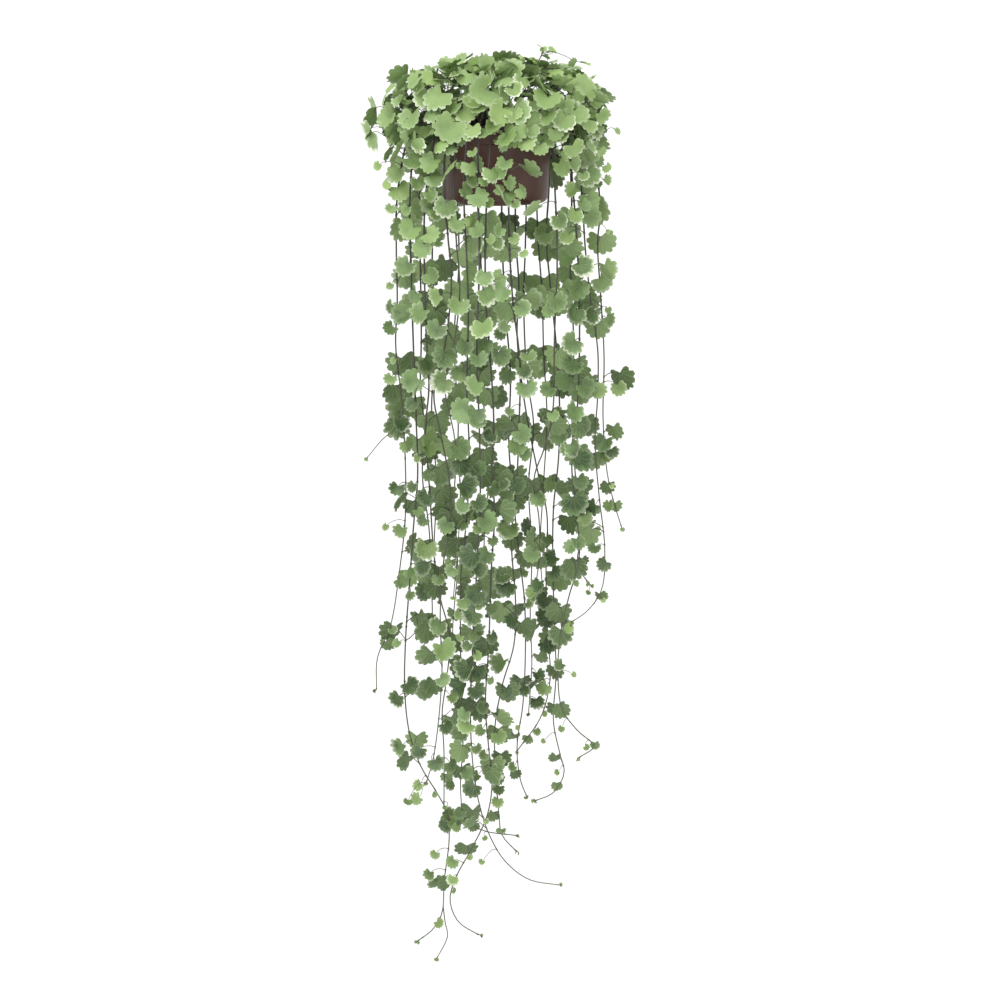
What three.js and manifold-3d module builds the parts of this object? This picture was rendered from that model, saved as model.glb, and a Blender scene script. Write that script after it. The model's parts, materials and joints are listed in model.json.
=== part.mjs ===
// Variegated ground ivy in a plastic hanging pot. Millimetres, +Z up.
// z = 0 is the shoulder under the pot's rim band, on the pot's axis, where a ring would carry the pot.
// The plant hangs free round the pot: +X is to the right and -Y to the front.
import * as THREE from 'three';
import { mergeVertices } from 'three/addons/utils/BufferGeometryUtils.js';
import Module from 'manifold-3d';

const wasm = await Module();
wasm.setup();

// Pot
const rimRadius = 70;
const rimHeight = 22;
const bodyTopRadius = 66;
const bodyLowRadius = 62.5;
const bodyDepth = 74;
const footRadius = 8;
const wall = 2.2;
const recessRadius = 44;
const recessDepth = 1.5;
const drainRadius = 2;
const drainCircle = 34;
const drainCount = 6;
const potSides = 28;

// Soil
const seatGap = 0.3;
const soilTop = 10;
const soilCrown = 5;
const rootDepth = 20;
const rootRun = rootDepth + 1.5;
const holeSlack = 0.5;

// Stems: they stand straight in the soil, then cross the rim and hang
const stemRadius = 1.6;
const tipRadius = 0.85;
const crownTipRadius = 1.25;
const twigRadii = [tipRadius * 1.1, tipRadius * 0.8];
const petioleRadius = 0.75;
const petioleRoot = 0.45;
const rootCircles = [53, 42];
const rimCrossing = [[60, 30], [75, 28]];
const overSoil = 57;
const curveSteps = 12;
const longestStep = 100;
const shortestStep = 6;
const bendLimit = 0.42;

// Leaves
const wideLeaf = 31;
const bladeThick = 1.7;
const bladeCup = 0.07;
const attachBack = 0.2;
const youngEnd = 170;
const youngLeast = 0.45;
const widthLoss = 0.0002;
const petioleLengths = [4, 48];
const backStep = 185;
const backStart = 70;
const goldenTurn = 137.5;

// Gaps kept between what grows on different shoots
const clearWanted = 2.6;
const clearLeast = 1.3;
const ownEase = 1.2;
const farEnough = 8;
const ringPoints = 12;

// Crown, the mound of leaves over the pot: round in plan, flat on top
const moundX = 134;
const moundFront = 92;
const moundBack = 104;
const moundTop = 84;
const moundLift = 8;
const moundPower = 3.2;
const moundSkirt = -20;
const crownShoots = 12;
const crownLeaves = 76;
const crownTop = 0.88;
const behindMiddle = 8;
const crownPetioles = [7, 62];
const leavesPerNode = 3;
const sprigShoot = 5;
const sprigEnd = [57, -12, 106];

// Leaves that show from the front, read off the photo by eye: [x, z, width], top to bottom.
const frontLeaves = [
  [53, 112, 8], [62, 104, 7], [-13, 95, 10], [34, 95, 10], [105, 91, 14], [-34, 81, 19],
  [9, 76, 19], [-92, 70, 22], [129, 68, 13], [101, 63, 29], [-124, 63, 14], [-15, 61, 31],
  [-68, 57, 29], [61, 52, 26], [4, 41, 26], [94, 35, 24], [43, 33, 22], [-97, 31, 24],
  [124, 31, 17], [-127, 29, 22], [-53, 22, 31], [22, 19, 22], [-26, 19, 17], [71, 14, 16],
  [146, 11, 10], [-139, 5, 31], [-91, 3, 22], [107, -3, 22], [-26, -8, 11], [75, -11, 17],
  [-97, -22, 24], [-23, -22, 19], [77, -27, 22], [7, -29, 17], [-139, -29, 11], [110, -38, 26],
  [41, -38, 19], [-73, -39, 19], [17, -58, 12], [-113, -59, 24], [-21, -59, 22], [-59, -71, 24],
  [43, -71, 11], [113, -89, 24], [77, -89, 22], [-22, -98, 17], [-100, -104, 23], [133, -109, 6],
  [1, -115, 16], [57, -116, 22], [86, -143, 20], [-106, -146, 24], [-28, -149, 23], [-77, -155, 18],
  [128, -169, 23], [99, -172, 26], [-11, -175, 26], [-43, -189, 22], [31, -193, 19],
  [-125, -197, 17], [63, -197, 16], [94, -201, 25], [-88, -201, 24], [-15, -214, 26],
  [134, -215, 17], [91, -238, 24], [-59, -249, 26], [5, -249, 23], [39, -251, 17], [91, -266, 24],
  [-63, -280, 25], [-23, -283, 22], [-125, -283, 14], [-97, -284, 25], [14, -286, 22],
  [105, -292, 22], [63, -292, 17], [147, -297, 18], [-37, -315, 28], [17, -317, 10], [68, -323, 13],
  [103, -337, 26], [-113, -337, 19], [31, -343, 23], [-7, -345, 16], [-80, -349, 22],
  [76, -357, 22], [-43, -361, 24], [130, -363, 22], [101, -379, 25], [-20, -383, 17],
  [-80, -393, 14], [-38, -406, 28], [-117, -415, 17], [14, -418, 22], [-83, -421, 19],
  [51, -421, 19], [94, -429, 29], [136, -439, 14], [-11, -446, 24], [-59, -452, 18], [14, -461, 23],
  [-112, -466, 16], [99, -477, 17], [-83, -483, 24], [-28, -489, 28], [43, -489, 18],
  [68, -506, 20], [130, -506, 16], [-52, -506, 14], [-86, -526, 25], [95, -526, 10], [14, -530, 24],
  [-23, -535, 23], [43, -537, 13], [129, -550, 6], [20, -572, 18], [-68, -575, 20], [63, -580, 25],
  [-3, -589, 16], [-32, -598, 14], [-117, -601, 11], [-63, -603, 26], [62, -614, 20], [8, -626, 24],
  [-34, -628, 25], [93, -638, 7], [-63, -640, 16], [-103, -652, 20], [32, -663, 18], [3, -688, 11],
  [-35, -695, 20], [79, -704, 8], [3, -716, 17], [50, -716, 10], [109, -727, 7], [-113, -729, 20],
  [-52, -746, 19], [75, -765, 7], [5, -767, 16], [-28, -770, 20], [-94, -785, 14], [2, -797, 13],
  [-43, -805, 14], [-11, -811, 7], [-62, -825, 17], [-13, -836, 6], [-73, -860, 11], [-31, -862, 7],
  [-52, -868, 14], [-79, -886, 14], [-52, -889, 13], [-69, -945, 11],
];

// Each trailing stem hangs from the rim along points [x, z], chosen by hand in millimetres.
// depth is its y at the rim and at its tip, and twigs are side shoots with points [x, z] of their own.
const trails = [
  { name: 'left_outer', depth: [-8, -20],
    path: [[-100, 8], [-116, -60], [-118, -130], [-117, -190], [-119, -245], [-112, -310], [-108, -380],
      [-108, -450], [-115, -515], [-126, -582], [-142, -622], [-143, -660]],
    twigs: [[[-113, -322], [-122, -346], [-134, -356], [-154, -380]]] },
  { name: 'left_long', depth: [-38, -14],
    path: [[-92, 4], [-101, -60], [-100, -156], [-98, -230], [-95, -320], [-93, -402], [-98, -460],
      [-103, -530], [-108, -600], [-109, -665], [-103, -716], [-90, -754], [-70, -788], [-58, -812],
      [-56, -844], [-62, -895], [-65, -936], [-76, -956], [-95, -971]],
    twigs: [[[-108, -600], [-98, -592], [-93, -582], [-96, -568]],
      [[-64, -928], [-61, -948], [-58, -964], [-71, -992]]] },
  { name: 'left_rear', depth: [32, 10],
    path: [[-80, 6], [-91, -70], [-90, -150], [-89, -240], [-90, -300], [-85, -350], [-88, -405],
      [-80, -470], [-77, -540], [-78, -590], [-92, -622]] },
  { name: 'left_front', depth: [-56, -34],
    path: [[-72, 4], [-83, -70], [-84, -150], [-82, -230], [-79, -290], [-83, -340], [-78, -420],
      [-74, -486], [-66, -545], [-55, -590], [-58, -640], [-64, -684], [-62, -730], [-62, -800]] },
  { name: 'front_left', depth: [-64, -50],
    path: [[-58, 2], [-60, -60], [-56, -110], [-52, -165], [-60, -240], [-73, -296], [-65, -345],
      [-55, -400], [-54, -450], [-62, -500], [-66, -565], [-64, -630], [-68, -690], [-75, -740],
      [-83, -768]] },
  { name: 'front_inner_left', depth: [-74, -62],
    path: [[-46, 2], [-49, -60], [-46, -115], [-42, -170], [-48, -230], [-60, -284], [-49, -345],
      [-42, -405], [-44, -470], [-50, -540]] },
  { name: 'front_third', depth: [-80, -34],
    path: [[-34, 2], [-37, -60], [-34, -130], [-32, -204], [-34, -290], [-31, -370], [-34, -444],
      [-41, -510], [-42, -576], [-41, -645], [-39, -720], [-42, -780], [-36, -816], [-14, -830],
      [25, -836]] },
  { name: 'front_fourth', depth: [-84, -52],
    path: [[-20, 2], [-20, -60], [-19, -144], [-22, -240], [-19, -340], [-18, -420], [-22, -500],
      [-27, -600], [-30, -680], [-27, -745], [-19, -795], [-7, -832], [12, -864], [40, -886],
      [76, -893]] },
  { name: 'front_heavy', depth: [-84, -20],
    path: [[-6, 2], [-10, -60], [-12, -120], [-11, -190], [-6, -255], [-2, -330], [-4, -390],
      [-1, -440], [-5, -510], [-8, -600], [-12, -675], [-8, -730], [-4, -770], [-10, -812],
      [-28, -852], [-48, -890], [-55, -918], [-45, -945], [-20, -962]] },
  { name: 'front_right', depth: [-80, -2],
    path: [[10, 2], [15, -60], [17, -130], [21, -190], [29, -260], [28, -336], [25, -410], [19, -475],
      [24, -550], [22, -605], [8, -655], [-1, -710], [1, -770], [4, -815], [8, -842], [26, -863]] },
  { name: 'right_short', depth: [-50, -42],
    path: [[66, 2], [71, -70], [73, -145], [70, -230], [68, -320], [58, -364], [46, -400], [52, -450],
      [52, -500], [45, -545]] },
  { name: 'right_front', depth: [-32, -28],
    path: [[84, 4], [93, -70], [98, -140], [100, -220], [98, -310], [91, -385], [97, -445],
      [100, -500], [88, -545], [78, -590], [75, -640], [80, -682], [98, -708], [118, -728],
      [100, -742]] },
  { name: 'right_outer', depth: [-10, -16],
    path: [[94, 6], [103, -70], [107, -130], [114, -195], [122, -250], [122, -305], [119, -360],
      [124, -425], [131, -490], [127, -540], [110, -565], [92, -578]] },
  { name: 'right_edge', depth: [14, 8],
    path: [[98, 10], [117, -30], [125, -80], [122, -125], [126, -190], [130, -260], [129, -335],
      [134, -400], [142, -436], [152, -468]] },
  { name: 'right_rear', depth: [40, 24],
    path: [[84, 4], [91, -70], [90, -160], [94, -250], [92, -340], [97, -415], [104, -475],
      [99, -515], [114, -540]] },
  { name: 'rear_right', depth: [52, 8],
    path: [[62, 2], [64, -60], [61, -120], [66, -180], [73, -250], [77, -320], [76, -385],
      [70, -445], [69, -510], [71, -580], [73, -650], [70, -705], [78, -745], [83, -768],
      [70, -792], [48, -802]] },
  { name: 'rear_second', depth: [64, 42],
    path: [[47, 2], [49, -60], [51, -120], [56, -190], [58, -260], [62, -340], [58, -420],
      [54, -500], [58, -560]] },
  { name: 'rear_third', depth: [72, 36],
    path: [[34, 2], [37, -60], [36, -130], [34, -200], [38, -290], [46, -350], [40, -420],
      [44, -500], [42, -580], [44, -640], [40, -700]] },
  { name: 'rear_fourth', depth: [77, 14],
    path: [[22, 2], [24, -60], [24, -120], [28, -180], [26, -240], [32, -300], [40, -350],
      [50, -400], [62, -455], [61, -530], [63, -600], [66, -655], [55, -700], [26, -742]] },
  { name: 'rear_middle', depth: [82, 2],
    path: [[4, 2], [7, -60], [8, -130], [12, -210], [18, -290], [16, -370], [22, -440], [28, -500],
      [35, -560], [36, -625], [33, -685], [26, -735], [30, -775], [38, -796]] },
  { name: 'rear_left', depth: [80, 50],
    path: [[-20, 2], [-22, -60], [-18, -150], [-11, -240], [-14, -330], [-9, -420], [-14, -500],
      [-10, -580]] },
  { name: 'rear_outer_left', depth: [70, 44],
    path: [[-42, 2], [-46, -60], [-44, -150], [-50, -250], [-45, -350], [-50, -440], [-46, -520],
      [-52, -600], [-48, -680]] },
  { name: 'rear_far_left', depth: [56, 30],
    path: [[-66, 4], [-73, -70], [-76, -150], [-72, -240], [-77, -330], [-71, -420], [-74, -500],
      [-68, -560]] },
];

const up = new THREE.Vector3(0, 0, 1);
const degree = Math.PI / 180;

// A repeatable draw between 0 and 1, so the plant is the same every time.
function seeded(seed) {
  let state = seed >>> 0;
  return () => {
    state = (state + 0x6d2b79f5) >>> 0;
    let mixed = Math.imul(state ^ (state >>> 15), state | 1);
    mixed ^= mixed + Math.imul(mixed ^ (mixed >>> 7), mixed | 61);
    return ((mixed ^ (mixed >>> 14)) >>> 0) / 4294967296;
  };
}

// Solids: a three.js geometry becomes a manifold to be joined or cut, and comes back.
function solidOf(geometry) {
  const bare = geometry.clone();
  bare.deleteAttribute('normal');
  bare.deleteAttribute('uv');
  const merged = mergeVertices(bare, 1e-4);
  return new wasm.Manifold(new wasm.Mesh({
    numProp: 3,
    vertProperties: merged.attributes.position.array,
    triVerts: new Uint32Array(merged.index.array),
  }));
}

function geometryOf(solid) {
  const mesh = solid.getMesh();
  const geometry = new THREE.BufferGeometry();
  geometry.setAttribute('position', new THREE.BufferAttribute(mesh.vertProperties, 3));
  geometry.setIndex(new THREE.BufferAttribute(mesh.triVerts, 1));
  return geometry;
}

function geometryFrom(points, faces) {
  const geometry = new THREE.BufferGeometry();
  geometry.setFromPoints(points);
  geometry.setIndex(faces.flat());
  return geometry;
}

function meshNamed(name, geometry, material) {
  const mesh = new THREE.Mesh(geometry, material);
  mesh.name = name;
  return mesh;
}

// Only the largest body of a joined solid is kept, so that no loose scrap stays.
function largestBody(solid) {
  const bodies = solid.decompose();
  bodies.sort((a, b) => b.volume() - a.volume());
  return bodies[0];
}

// Pot: a thin wall that steps out at the shoulder to the rim band, with a recessed base.
function potWall() {
  const base = -bodyDepth;
  const corner = (angle) => new THREE.Vector2(
    bodyLowRadius - footRadius + footRadius * Math.cos(angle * degree),
    base + footRadius + footRadius * Math.sin(angle * degree),
  );
  const inner = footRadius - wall;
  const innerCorner = (angle) => new THREE.Vector2(
    bodyLowRadius - footRadius + inner * Math.cos(angle * degree),
    base + footRadius + inner * Math.sin(angle * degree),
  );
  const profile = [
    new THREE.Vector2(0, base + recessDepth),
    new THREE.Vector2(recessRadius, base + recessDepth),
    new THREE.Vector2(recessRadius + recessDepth, base),
    corner(-90),
    corner(-45),
    corner(0),
    new THREE.Vector2(bodyTopRadius, 0),
    new THREE.Vector2(rimRadius, 0),
    new THREE.Vector2(rimRadius, rimHeight - 1),
    new THREE.Vector2(rimRadius - 1, rimHeight),
    new THREE.Vector2(rimRadius - wall, rimHeight),
    new THREE.Vector2(rimRadius - wall, wall),
    new THREE.Vector2(bodyTopRadius - wall, wall),
    innerCorner(0),
    innerCorner(-45),
    innerCorner(-90),
    new THREE.Vector2(0, base + recessDepth + wall),
  ];
  return new THREE.LatheGeometry(profile, potSides).rotateX(Math.PI / 2);
}

function potSolid() {
  let pot = solidOf(potWall());
  for (let i = 0; i < drainCount; i += 1) {
    const turn = (i * 2 * Math.PI) / drainCount;
    const hole = new THREE.CylinderGeometry(drainRadius, drainRadius, wall * 4, 6);
    hole.rotateX(Math.PI / 2);
    hole.translate(drainCircle * Math.cos(turn), drainCircle * Math.sin(turn), -bodyDepth + wall);
    pot = pot.subtract(solidOf(hole));
  }
  return pot;
}

// Soil: fills the pot to below the rim, a little higher in the middle.
function soilBlock() {
  const base = -bodyDepth + recessDepth + wall + seatGap;
  const inside = bodyTopRadius - wall - seatGap;
  const low = bodyLowRadius - wall - seatGap;
  const profile = [
    new THREE.Vector2(0, base),
    new THREE.Vector2(low - footRadius + wall, base),
    new THREE.Vector2(low, base + footRadius - wall),
    new THREE.Vector2(inside, wall + seatGap),
    new THREE.Vector2(rimRadius - wall - seatGap, wall + seatGap),
    new THREE.Vector2(rimRadius - wall - seatGap, soilTop),
    new THREE.Vector2(0, soilTop + soilCrown),
  ];
  return new THREE.LatheGeometry(profile, potSides).rotateX(Math.PI / 2);
}

function soilHeight(radius) {
  return soilTop + soilCrown * (1 - radius / (rimRadius - wall - seatGap));
}

function rootHole(x, y) {
  const radius = (stemRadius + holeSlack) * Math.SQRT2;
  const depth = rootDepth + seatGap;
  const hole = new THREE.CylinderGeometry(radius, radius, depth * 2, 4);
  hole.rotateX(Math.PI / 2);
  hole.translate(x, y, soilHeight(Math.hypot(x, y)));
  return hole;
}

// A stem's line: dense points on a smooth curve, with the length run so far at each.
function lineThrough(points, straight = 0) {
  const curve = new THREE.CatmullRomCurve3(points, false, 'centripetal');
  const dense = curve.getPoints((points.length - 1) * curveSteps);
  const run = [0];
  for (let i = 1; i < dense.length; i += 1) run.push(run[i - 1] + dense[i].distanceTo(dense[i - 1]));
  const line = { dense, run, length: run[run.length - 1] };
  line.marks = ringDistances(line, straight);
  line.centres = line.marks.map((d) => pointAt(line, d));
  return line;
}

function pointAt(line, distance) {
  let i = 1;
  while (i < line.run.length - 1 && line.run[i] < distance) i += 1;
  const share = (distance - line.run[i - 1]) / (line.run[i] - line.run[i - 1]);
  return line.dense[i - 1].clone().lerp(line.dense[i], share);
}

function directionAt(line, distance) {
  const ahead = pointAt(line, Math.min(distance + 2, line.length));
  return ahead.sub(pointAt(line, Math.max(distance - 2, 0))).normalize();
}

// Distances along a line where its tube has a ring: close together only where it bends.
function ringDistances(line, straight) {
  const marks = straight ? [0, straight] : [0];
  let last = directionAt(line, straight);
  for (let d = straight + 2; d < line.length - 4; d += 2) {
    const now = directionAt(line, d);
    const far = d - marks[marks.length - 1];
    if (far >= longestStep || (far >= shortestStep && now.angleTo(last) > bendLimit)) {
      marks.push(d);
      last = now;
    }
  }
  marks.push(line.length);
  return marks;
}

// A point on the axis of the stem's tube, which runs straight from ring to ring.
function stemPoint(line, distance) {
  let i = 1;
  while (i < line.marks.length - 1 && line.marks[i] < distance) i += 1;
  const share = (distance - line.marks[i - 1]) / (line.marks[i] - line.marks[i - 1]);
  return line.centres[i - 1].clone().lerp(line.centres[i], share);
}

function stemRadiusAt(line, distance) {
  return line.radii[0] + ((line.radii[1] - line.radii[0]) * distance) / line.length;
}

// A three-sided tapering tube through rings of points, closed at both ends.
function tubeThrough(centres, tangents, radii) {
  const points = [];
  const faces = [];
  let side = new THREE.Vector3(0, 1, 0).cross(tangents[0]);
  if (side.length() < 0.3) side = new THREE.Vector3(1, 0, 0).cross(tangents[0]);
  centres.forEach((centre, i) => {
    side.addScaledVector(tangents[i], -side.dot(tangents[i])).normalize();
    const other = tangents[i].clone().cross(side);
    for (let k = 0; k < 3; k += 1) {
      const turn = (k * 2 * Math.PI) / 3;
      points.push(centre.clone()
        .addScaledVector(side, radii[i] * Math.cos(turn))
        .addScaledVector(other, radii[i] * Math.sin(turn)));
    }
  });
  for (let i = 0; i < centres.length - 1; i += 1) {
    for (let k = 0; k < 3; k += 1) {
      const a = i * 3 + k;
      const b = i * 3 + ((k + 1) % 3);
      faces.push([a, b, b + 3], [a, b + 3, a + 3]);
    }
  }
  const end = (centres.length - 1) * 3;
  faces.push([2, 1, 0], [end, end + 1, end + 2]);
  return geometryFrom(points, faces);
}

function stemTube(line) {
  const tangents = line.marks.map((d) => directionAt(line, d));
  const radii = line.marks.map((d) => stemRadiusAt(line, d));
  return tubeThrough(line.centres, tangents, radii);
}

// Leaf: a kidney-shaped blade with seven round teeth, cupped, thickest at the middle and thin at
// its edge. The petiole's last ring is part of the blade, in the notch.
// Each outline lists half of the teeth and the dents between them, by angle from the tip.
const outlines = [
  { below: 23, angles: [0, 33, 66, 99, 136], reach: [0.47, 0.41, 0.5, 0.43, 0.5] },
  { below: 99, angles: [0, 28, 57, 86, 114, 146], reach: [0.48, 0.41, 0.5, 0.42, 0.5, 0.48] },
];

function leafSolid(leaf) {
  const { attach, middle, along, across, face, width, root, rootSize } = leaf;
  const { angles, reach: reaches } = outlines.find((outline) => width < outline.below);
  const points = [];
  const faces = [];
  const rim = [];
  const addPoint = (angle, reach) => {
    const drop = -bladeCup * width * (reach / 0.5) ** 2;
    points.push(middle.clone()
      .addScaledVector(along, width * reach * Math.cos(angle * degree))
      .addScaledVector(across, width * reach * Math.sin(angle * degree))
      .addScaledVector(face, drop));
    rim.push(points.length - 1);
  };
  for (let i = angles.length - 1; i > 0; i -= 1) addPoint(-angles[i], reaches[i]);
  for (let i = 0; i < angles.length; i += 1) addPoint(angles[i], reaches[i]);
  const top = points.push(middle.clone().addScaledVector(face, bladeThick / 2)) - 1;
  const under = points.push(middle.clone().addScaledVector(face, -bladeThick / 2)) - 1;

  const run = attach.clone().sub(root).normalize();
  const bend = run.clone().add(along).normalize();
  const rise = across.clone().cross(bend).normalize();
  if (rise.dot(face) < 0) rise.negate();
  const ringAt = (centre, size) => {
    const first = points.length;
    points.push(centre.clone().addScaledVector(rise, size));
    points.push(centre.clone().addScaledVector(across, size * 0.87).addScaledVector(rise, -size / 2));
    points.push(centre.clone().addScaledVector(across, -size * 0.87).addScaledVector(rise, -size / 2));
    return first;
  };
  const neck = ringAt(attach, petioleRadius);
  const foot = ringAt(root, rootSize);

  for (let i = 0; i < rim.length - 1; i += 1) {
    faces.push([top, rim[i], rim[i + 1]], [under, rim[i + 1], rim[i]]);
  }
  const first = rim[0];
  const last = rim[rim.length - 1];
  const [high, right, left] = [neck, neck + 1, neck + 2];
  faces.push([top, last, right], [top, right, high], [top, high, left], [top, left, first]);
  faces.push([under, right, last], [under, left, right], [under, first, left]);
  for (const [a, b] of [[0, 1], [1, 2], [2, 0]]) {
    faces.push([neck + a, neck + b, foot + b], [neck + a, foot + b, foot + a]);
  }
  faces.push([foot, foot + 1, foot + 2]);
  const geometry = geometryFrom(points, faces);
  const solid = solidOf(geometry);
  if (solid.volume() < 0) {
    return solidOf(geometryFrom(points, faces.map(([a, b, c]) => [a, c, b])));
  }
  return solid;
}

// What is already placed, so that stems and leaves of different shoots never touch: blades as flat
// discs with points round their rims, stems and petioles as straight rods.
const blades = [];
const rods = [];

function bladeOf(leaf, owner) {
  const centre = leaf.middle.clone().addScaledVector(leaf.face, (-bladeCup * leaf.width) / 2);
  const radius = leaf.width / 2;
  const rim = [];
  for (let i = 0; i < ringPoints; i += 1) {
    const turn = (i * 2 * Math.PI) / ringPoints;
    rim.push(centre.clone()
      .addScaledVector(leaf.along, radius * Math.cos(turn))
      .addScaledVector(leaf.across, radius * Math.sin(turn)));
  }
  return { centre, face: leaf.face, radius, rim, owner };
}

function nearness(point, blade) {
  const off = point.clone().sub(blade.centre);
  const height = off.dot(blade.face);
  const reach = Math.sqrt(Math.max(off.lengthSq() - height * height, 0));
  const beyond = Math.max(reach - blade.radius, 0);
  return { height, reach, gap: Math.hypot(height, beyond) };
}

// The gap from a run of points to a blade, and 0 where the run passes through it.
function runGap(points, blade, closed) {
  let gap = farEnough;
  let before = closed ? nearness(points[points.length - 1], blade) : null;
  for (const point of points) {
    const now = nearness(point, blade);
    gap = Math.min(gap, now.gap);
    if (before && before.height * now.height < 0) {
      const share = before.height / (before.height - now.height);
      if (before.reach + (now.reach - before.reach) * share < blade.radius) return 0;
    }
    before = now;
  }
  return gap;
}

function bladeGap(a, b) {
  const apart = a.centre.distanceTo(b.centre) - a.radius - b.radius;
  if (apart > farEnough) return farEnough;
  return Math.min(runGap(a.rim, b, true), runGap(b.rim, a, true), nearness(a.centre, b).gap);
}

function rodPoints(rod) {
  const points = [];
  for (let i = 0; i <= 8; i += 1) points.push(rod.from.clone().lerp(rod.to, i / 8));
  return points;
}

function rodBladeGap(rod, blade) {
  const apart = rod.middle.distanceTo(blade.centre) - rod.half - blade.radius;
  if (apart > farEnough) return farEnough;
  return runGap(rodPoints(rod), blade, false) - rod.radius;
}

function rodGap(p, q) {
  if (p.middle.distanceTo(q.middle) - p.half - q.half > farEnough) return farEnough;
  const d1 = p.to.clone().sub(p.from);
  const d2 = q.to.clone().sub(q.from);
  const r = p.from.clone().sub(q.from);
  const a = d1.lengthSq();
  const e = d2.lengthSq();
  const b = d1.dot(d2);
  const c = d1.dot(r);
  const f = d2.dot(r);
  const below = a * e - b * b;
  let s = below > 1e-9 ? Math.min(Math.max((b * f - c * e) / below, 0), 1) : 0;
  const t = Math.min(Math.max((b * s + f) / e, 0), 1);
  s = Math.min(Math.max((b * t - c) / a, 0), 1);
  const near = r.addScaledVector(d1, s).addScaledVector(d2, -t);
  return near.length() - p.radius - q.radius;
}

function rodOf(from, to, radius, owner) {
  const middle = from.clone().lerp(to, 0.5);
  return { from, to, radius, owner, middle, half: from.distanceTo(to) / 2 };
}

// How clear a point is of the pot and the soil, less than 0 inside them.
function potGap(point) {
  const radius = Math.hypot(point.x, point.y);
  if (point.z > rimHeight) return Math.max(point.z - rimHeight, radius - rimRadius, 0) + 0.5;
  if (point.z < -bodyDepth) return Math.max(-bodyDepth - point.z, radius - bodyLowRadius);
  if (radius > rimRadius) return radius - rimRadius;
  const inside = rimRadius - wall;
  return Math.min(inside - radius, point.z - soilTop - soilCrown);
}

// The smallest gap round a new leaf. Its own shoot may come closer, because it is joined to it.
function leafGap(leaf, owner) {
  const blade = bladeOf(leaf, owner);
  const petiole = rodOf(leaf.root, leaf.attach, petioleRadius, owner);
  let gap = farEnough;
  for (const point of [...blade.rim, blade.centre]) gap = Math.min(gap, potGap(point) - 1);
  for (const point of rodPoints(petiole).slice(3)) gap = Math.min(gap, potGap(point) - 1);
  for (const other of blades) {
    const ease = other.owner === owner ? ownEase : 0;
    gap = Math.min(gap, bladeGap(blade, other) + ease, rodBladeGap(petiole, other) + ease);
    if (gap < clearLeast) return gap;
  }
  for (const rod of rods) {
    const own = rod.owner === owner;
    gap = Math.min(gap, rodBladeGap(rod, blade) + (own ? ownEase : 0));
    if (!own) gap = Math.min(gap, rodGap(petiole, rod));
    if (gap < clearLeast) return gap;
  }
  return gap;
}

// Takes the first pose that is clear, or else the clearest, and leaves the leaf out if none is.
function placeLeaf(poses, owner) {
  let best = null;
  let bestGap = clearLeast;
  for (const leaf of poses) {
    const gap = leafGap(leaf, owner);
    if (gap > bestGap) {
      best = leaf;
      bestGap = gap;
    }
    if (gap >= clearWanted) break;
  }
  if (!best) return null;
  blades.push(bladeOf(best, owner));
  rods.push(rodOf(best.root, best.attach, petioleRadius, owner));
  return best;
}

// A leaf whose midrib runs as near as it can to the wish, in a blade that faces the given way.
function leafAround(middle, face, wish, width) {
  const front = face.clone().normalize();
  const along = wish.clone().addScaledVector(front, -wish.dot(front)).normalize();
  const across = front.clone().cross(along);
  return { middle, along, across, face: front, width };
}

function leafAt(root, rootSize, middle, face, wish, width) {
  const leaf = leafAround(middle, face, wish, width);
  const attach = middle.clone().addScaledVector(leaf.along, -attachBack * width);
  return { ...leaf, root, rootSize, attach };
}

function leafFrom(root, rootSize, attach, face, wish, width) {
  const leaf = leafAround(attach, face, wish, width);
  const middle = attach.clone().addScaledVector(leaf.along, attachBack * width);
  return { ...leaf, root, rootSize, attach, middle };
}

// Trailing stems
function hanger(trail) {
  const [near, far] = trail.depth;
  const lowest = Math.min(...trail.path.map((point) => point[1]));
  const depthAt = (z) => near + (far - near) * Math.min(Math.max(z / lowest, 0), 1);
  return ([x, z]) => new THREE.Vector3(x, depthAt(z), z);
}

function rootHeights(ground) {
  return [ground - rootDepth, ground - 6, ground + 1, ground + 5];
}

function trailLine(trail, order) {
  const route = trail.path.map(hanger(trail));
  const out = new THREE.Vector3(route[0].x, route[0].y, 0).normalize();
  const rootRadius = rootCircles[order % 2];
  const at = ([radius, z]) => out.clone().multiplyScalar(radius).setZ(z);
  const rooted = rootHeights(soilHeight(rootRadius)).map((z) => at([rootRadius, z]));
  return lineThrough([...rooted, ...rimCrossing.map(at), ...route], rootRun);
}

function twigLine(twig, trail, stem) {
  const points = twig.map(hanger(trail));
  const nearer = (a, b) => (b.distanceTo(points[0]) < a.distanceTo(points[0]) ? b : a);
  points[0] = stem.dense.reduce(nearer).clone();
  return lineThrough(points);
}

function addRods(line, owner) {
  for (let i = 1; i < line.marks.length; i += 1) {
    const radius = stemRadiusAt(line, line.marks[i]);
    rods.push(rodOf(line.centres[i - 1], line.centres[i], radius, owner));
  }
}

// Leaves are smaller towards the tip of a stem, and a little smaller the lower they hang.
function leafWidthAt(line, distance, chance) {
  const toTip = Math.min((line.length - distance) / youngEnd, 1);
  const young = youngLeast + (1 - youngLeast) * toTip * toTip * (3 - 2 * toTip);
  return wideLeaf * (1 - widthLoss * distance) * young * (0.84 + 0.26 * chance);
}

// Front leaves: each goes to one of the stems nearest to it that isn't crowded there.
const stemReach = 42;
const nodeAbove = 4;
const frontFirst = 0.1;
const crowdLength = 10;
const crowdCost = 9;
const depthsTried = [-8, 6, -13, 11, -18, 16, -4, 21];
const rootsTried = [0, -6, 5, -12, 10, -18, 4, -10];
const leansTried = [0, 20, -20, 40, -40, 60, -60, 90];

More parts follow.
